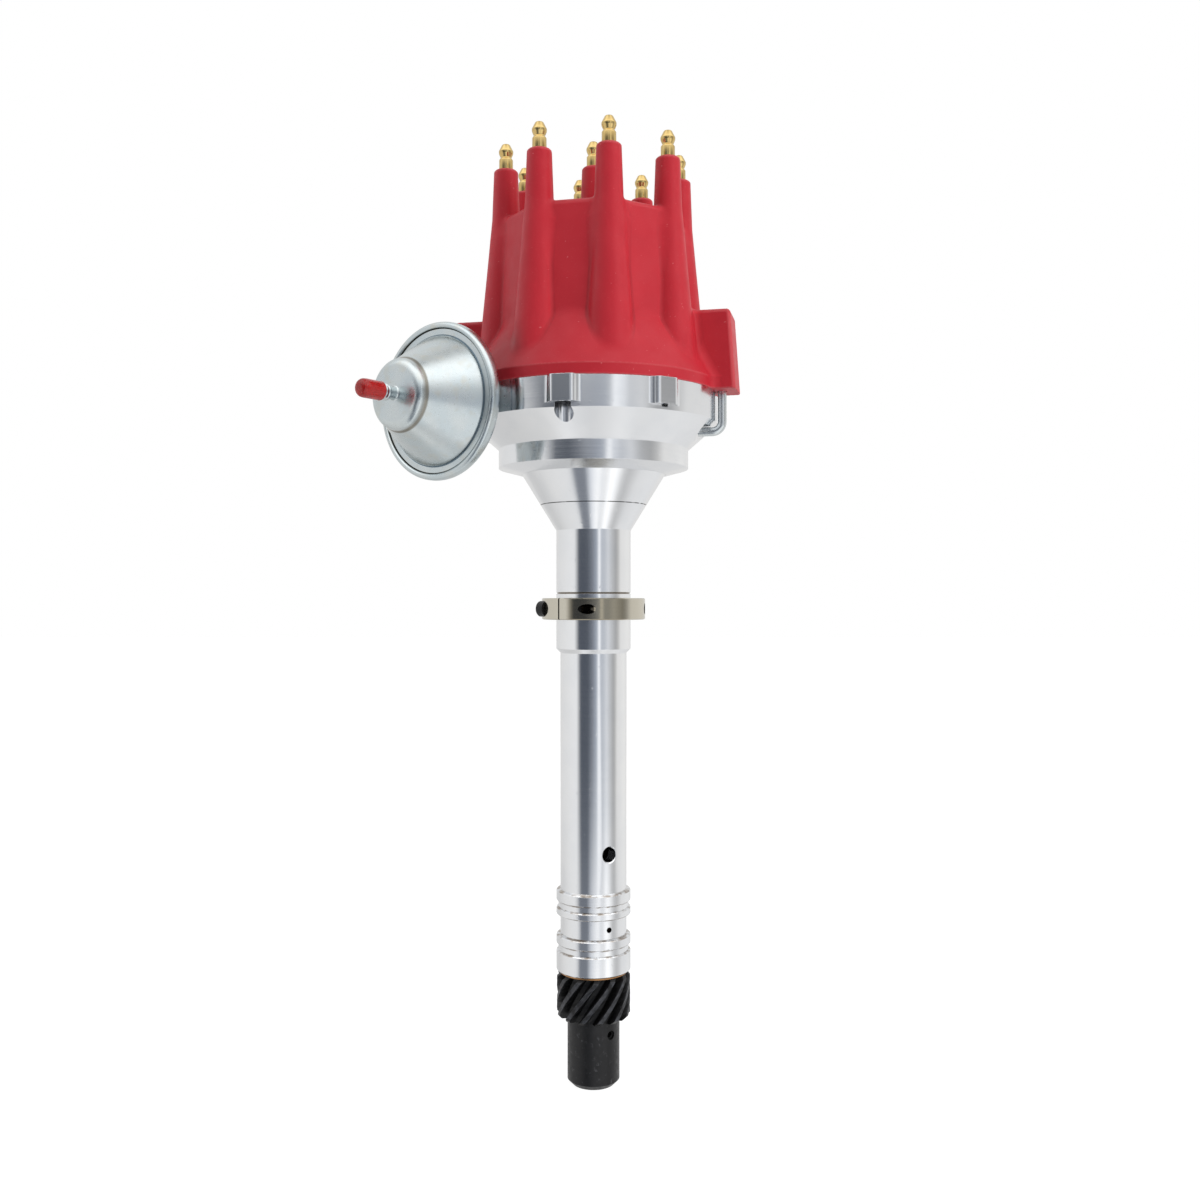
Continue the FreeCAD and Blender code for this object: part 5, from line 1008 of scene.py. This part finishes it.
def make_cap(material):
    """Cap from its distance field, shaded by the field's own slope."""
    points, quads = surface_net(cap_shape, *CAP_GRID, CAP_STEP)
    points = settle(cap_shape, points)
    slopes = slope_of(cap_shape, points, SHADE_STEP)
    slopes /= np.maximum(np.linalg.norm(slopes, axis=1), 1e-6)[:, None]
    mesh = bpy.data.meshes.new("cap_moulding")
    mesh.from_pydata(points * MM, [], quads)
    mesh.polygons.foreach_set("use_smooth", np.ones(len(quads), bool))
    mesh.normals_split_custom_set_from_vertices(slopes)
    bend = mesh.attributes.new("bend", "FLOAT", "POINT")
    bend.data.foreach_set("value", bend_of(cap_shape, points).astype(np.float32))
    cap = add_piece(mesh, material, "housing")
    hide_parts("distributor_cap")


# Vacuum canister, drawn about its own axis: (radius, distance from the middle of the rim)

CANISTER_ANGLE = 37.5
CANISTER_REACH = 61.4
CANISTER_OFFSET = 30.7
FRONT_SHELL = (
    (29.4, 0.6), (28.9, 1.25), (28.7, 1.45), (26.5, 1.45), (26.2, 1.3), (25.9, 2.0),
    (25.5, 2.7), (14.5, 20.1), (14.05, 20.9), (13.95, 21.6), (13.7, 22.6), (12.6, 23.6), (11.2, 24.0),
    (2.4, 24.0),
)
REAR_SHELL = (
    (1.9, -9.0), (18.6, -9.0), (26.9, -3.2), (28.2, -2.5), (30.3, -2.5), (31.3, -1.9), (31.56, -0.8),
    (31.56, 0.8), (31.3, 1.9), (30.4, 2.45), (29.7, 2.45), (29.05, 2.0), (28.85, 1.3), (28.95, 0.7),
)
NIPPLE = (
    (3.1, 23.95), (2.55, 24.25), (2.4, 24.8), (2.4, 27.6), (2.65, 27.75), (3.2, 28.0), (3.3, 28.4),
    (3.3, 28.75), (3.15, 29.15), (2.6, 29.4), (2.4, 29.6), (2.4, 38.0), (1.3, 38.0), (1.3, 24.5),
)
RED_CAP = (
    (2.45, 30.9), (3.5, 30.9), (3.7, 31.2), (3.62, 31.8), (3.65, 38.6), (3.5, 40.2), (2.8, 41.2),
    (1.6, 41.65), (0.0, 41.7),
)


def canister_matrix():
    """Middle of the canister's rim, with Z along its axis, away from the shaft."""
    turn = math.radians(CANISTER_ANGLE)
    outwards = Vector((-math.sin(turn), -math.cos(turn), 0.0))
    across = Vector((math.cos(turn), -math.sin(turn), 0.0))
    origin = outwards * CANISTER_REACH - across * CANISTER_OFFSET
    origin.z = canister_height
    matrix = Matrix((across, (0, 0, 1), outwards)).transposed().to_4x4()
    return Matrix.Translation(origin * MM) @ matrix


def turned_piece(name, profile, corner, material, body, node, segments=160):
    """Piece turned about the canister's axis, in place of a node."""
    vertices, faces = lathe(rounded(profile, corner, 5), segments)
    piece = new_piece(name, vertices, faces, material, body, 55.0, canister_matrix())
    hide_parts(node)


def make_canister(zinc, vinyl):
    turned_piece("canister_front", FRONT_SHELL, 0.7, zinc, "housing", "vacuum_front_shell")
    turned_piece("canister_rear", REAR_SHELL, 0.8, zinc, "housing", "vacuum_rear_shell")
    turned_piece("canister_nipple", NIPPLE, 0.3, zinc, "housing", "vacuum_nipple", 64)
    turned_piece("nipple_cover", RED_CAP, 0.5, vinyl, "vacuum_cap", "nipple_cap", 64)


# Solids that keep their shape and only get a material

def dress(material, *nodes):
    for node in nodes:
        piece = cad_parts[node]
        piece.data.materials.clear()
        piece.data.materials.append(material)


def dress_solids(red, brass):
    dress(turned_aluminium(), "housing_stem", "housing_bowl")
    dress(red, "distributor_cap", "rotor")
    dress(brass, "rotor_contact")
    dress(brushed_nickel(), "slip_collar")
    dress(black_steel().material, "collar_clamp_screw", "collar_set_screw", "main_shaft")
    dress(gear_steel(), "drive_gear", "gear_roll_pin")
    dress(ground_steel(), "advance_cam", "upper_thrust_washer", "rotor_screws", "weight_pins",
          "flyweight_a", "flyweight_b", "advance_sleeve", "cam_clip", "pickup_plate", "module_screws",
          "carbon_button_spring", "latch_spring_right", "latch_spring_left", "advance_spring_a",
          "advance_spring_b", "diaphragm_spring")
    dress(zinc_plate(), "latch_rod_right", "latch_rod_left", "latch_washer_right",
          "latch_washer_left", "actuator_rod", "canister_bracket", "bracket_screws",
          "vacuum_front_shell", "vacuum_rear_shell", "vacuum_nipple")
    dress(bronze(), "lower_bushing", "upper_bushing", "gear_thrust_washer")
    dress(sintered_iron(), "reluctor", "pickup_pole")
    dress(black_plastic(), "pickup_coil", "ignition_module")
    dress(black_rubber(), "harness_grommet", "vacuum_diaphragm")
    dress(red_vinyl(), "nipple_cap")
    dress(carbon(), "carbon_button")


def main():
    make_camera()
    make_world()
    for lamp in LAMPS:
        soft_box(*lamp)
    make_floor()
    red = red_plastic()
    brass = gold_brass()
    dress_solids(red, brass)
    make_terminals(brass)
    make_cap(red)
    make_canister(canister_zinc(), red_vinyl())


main()
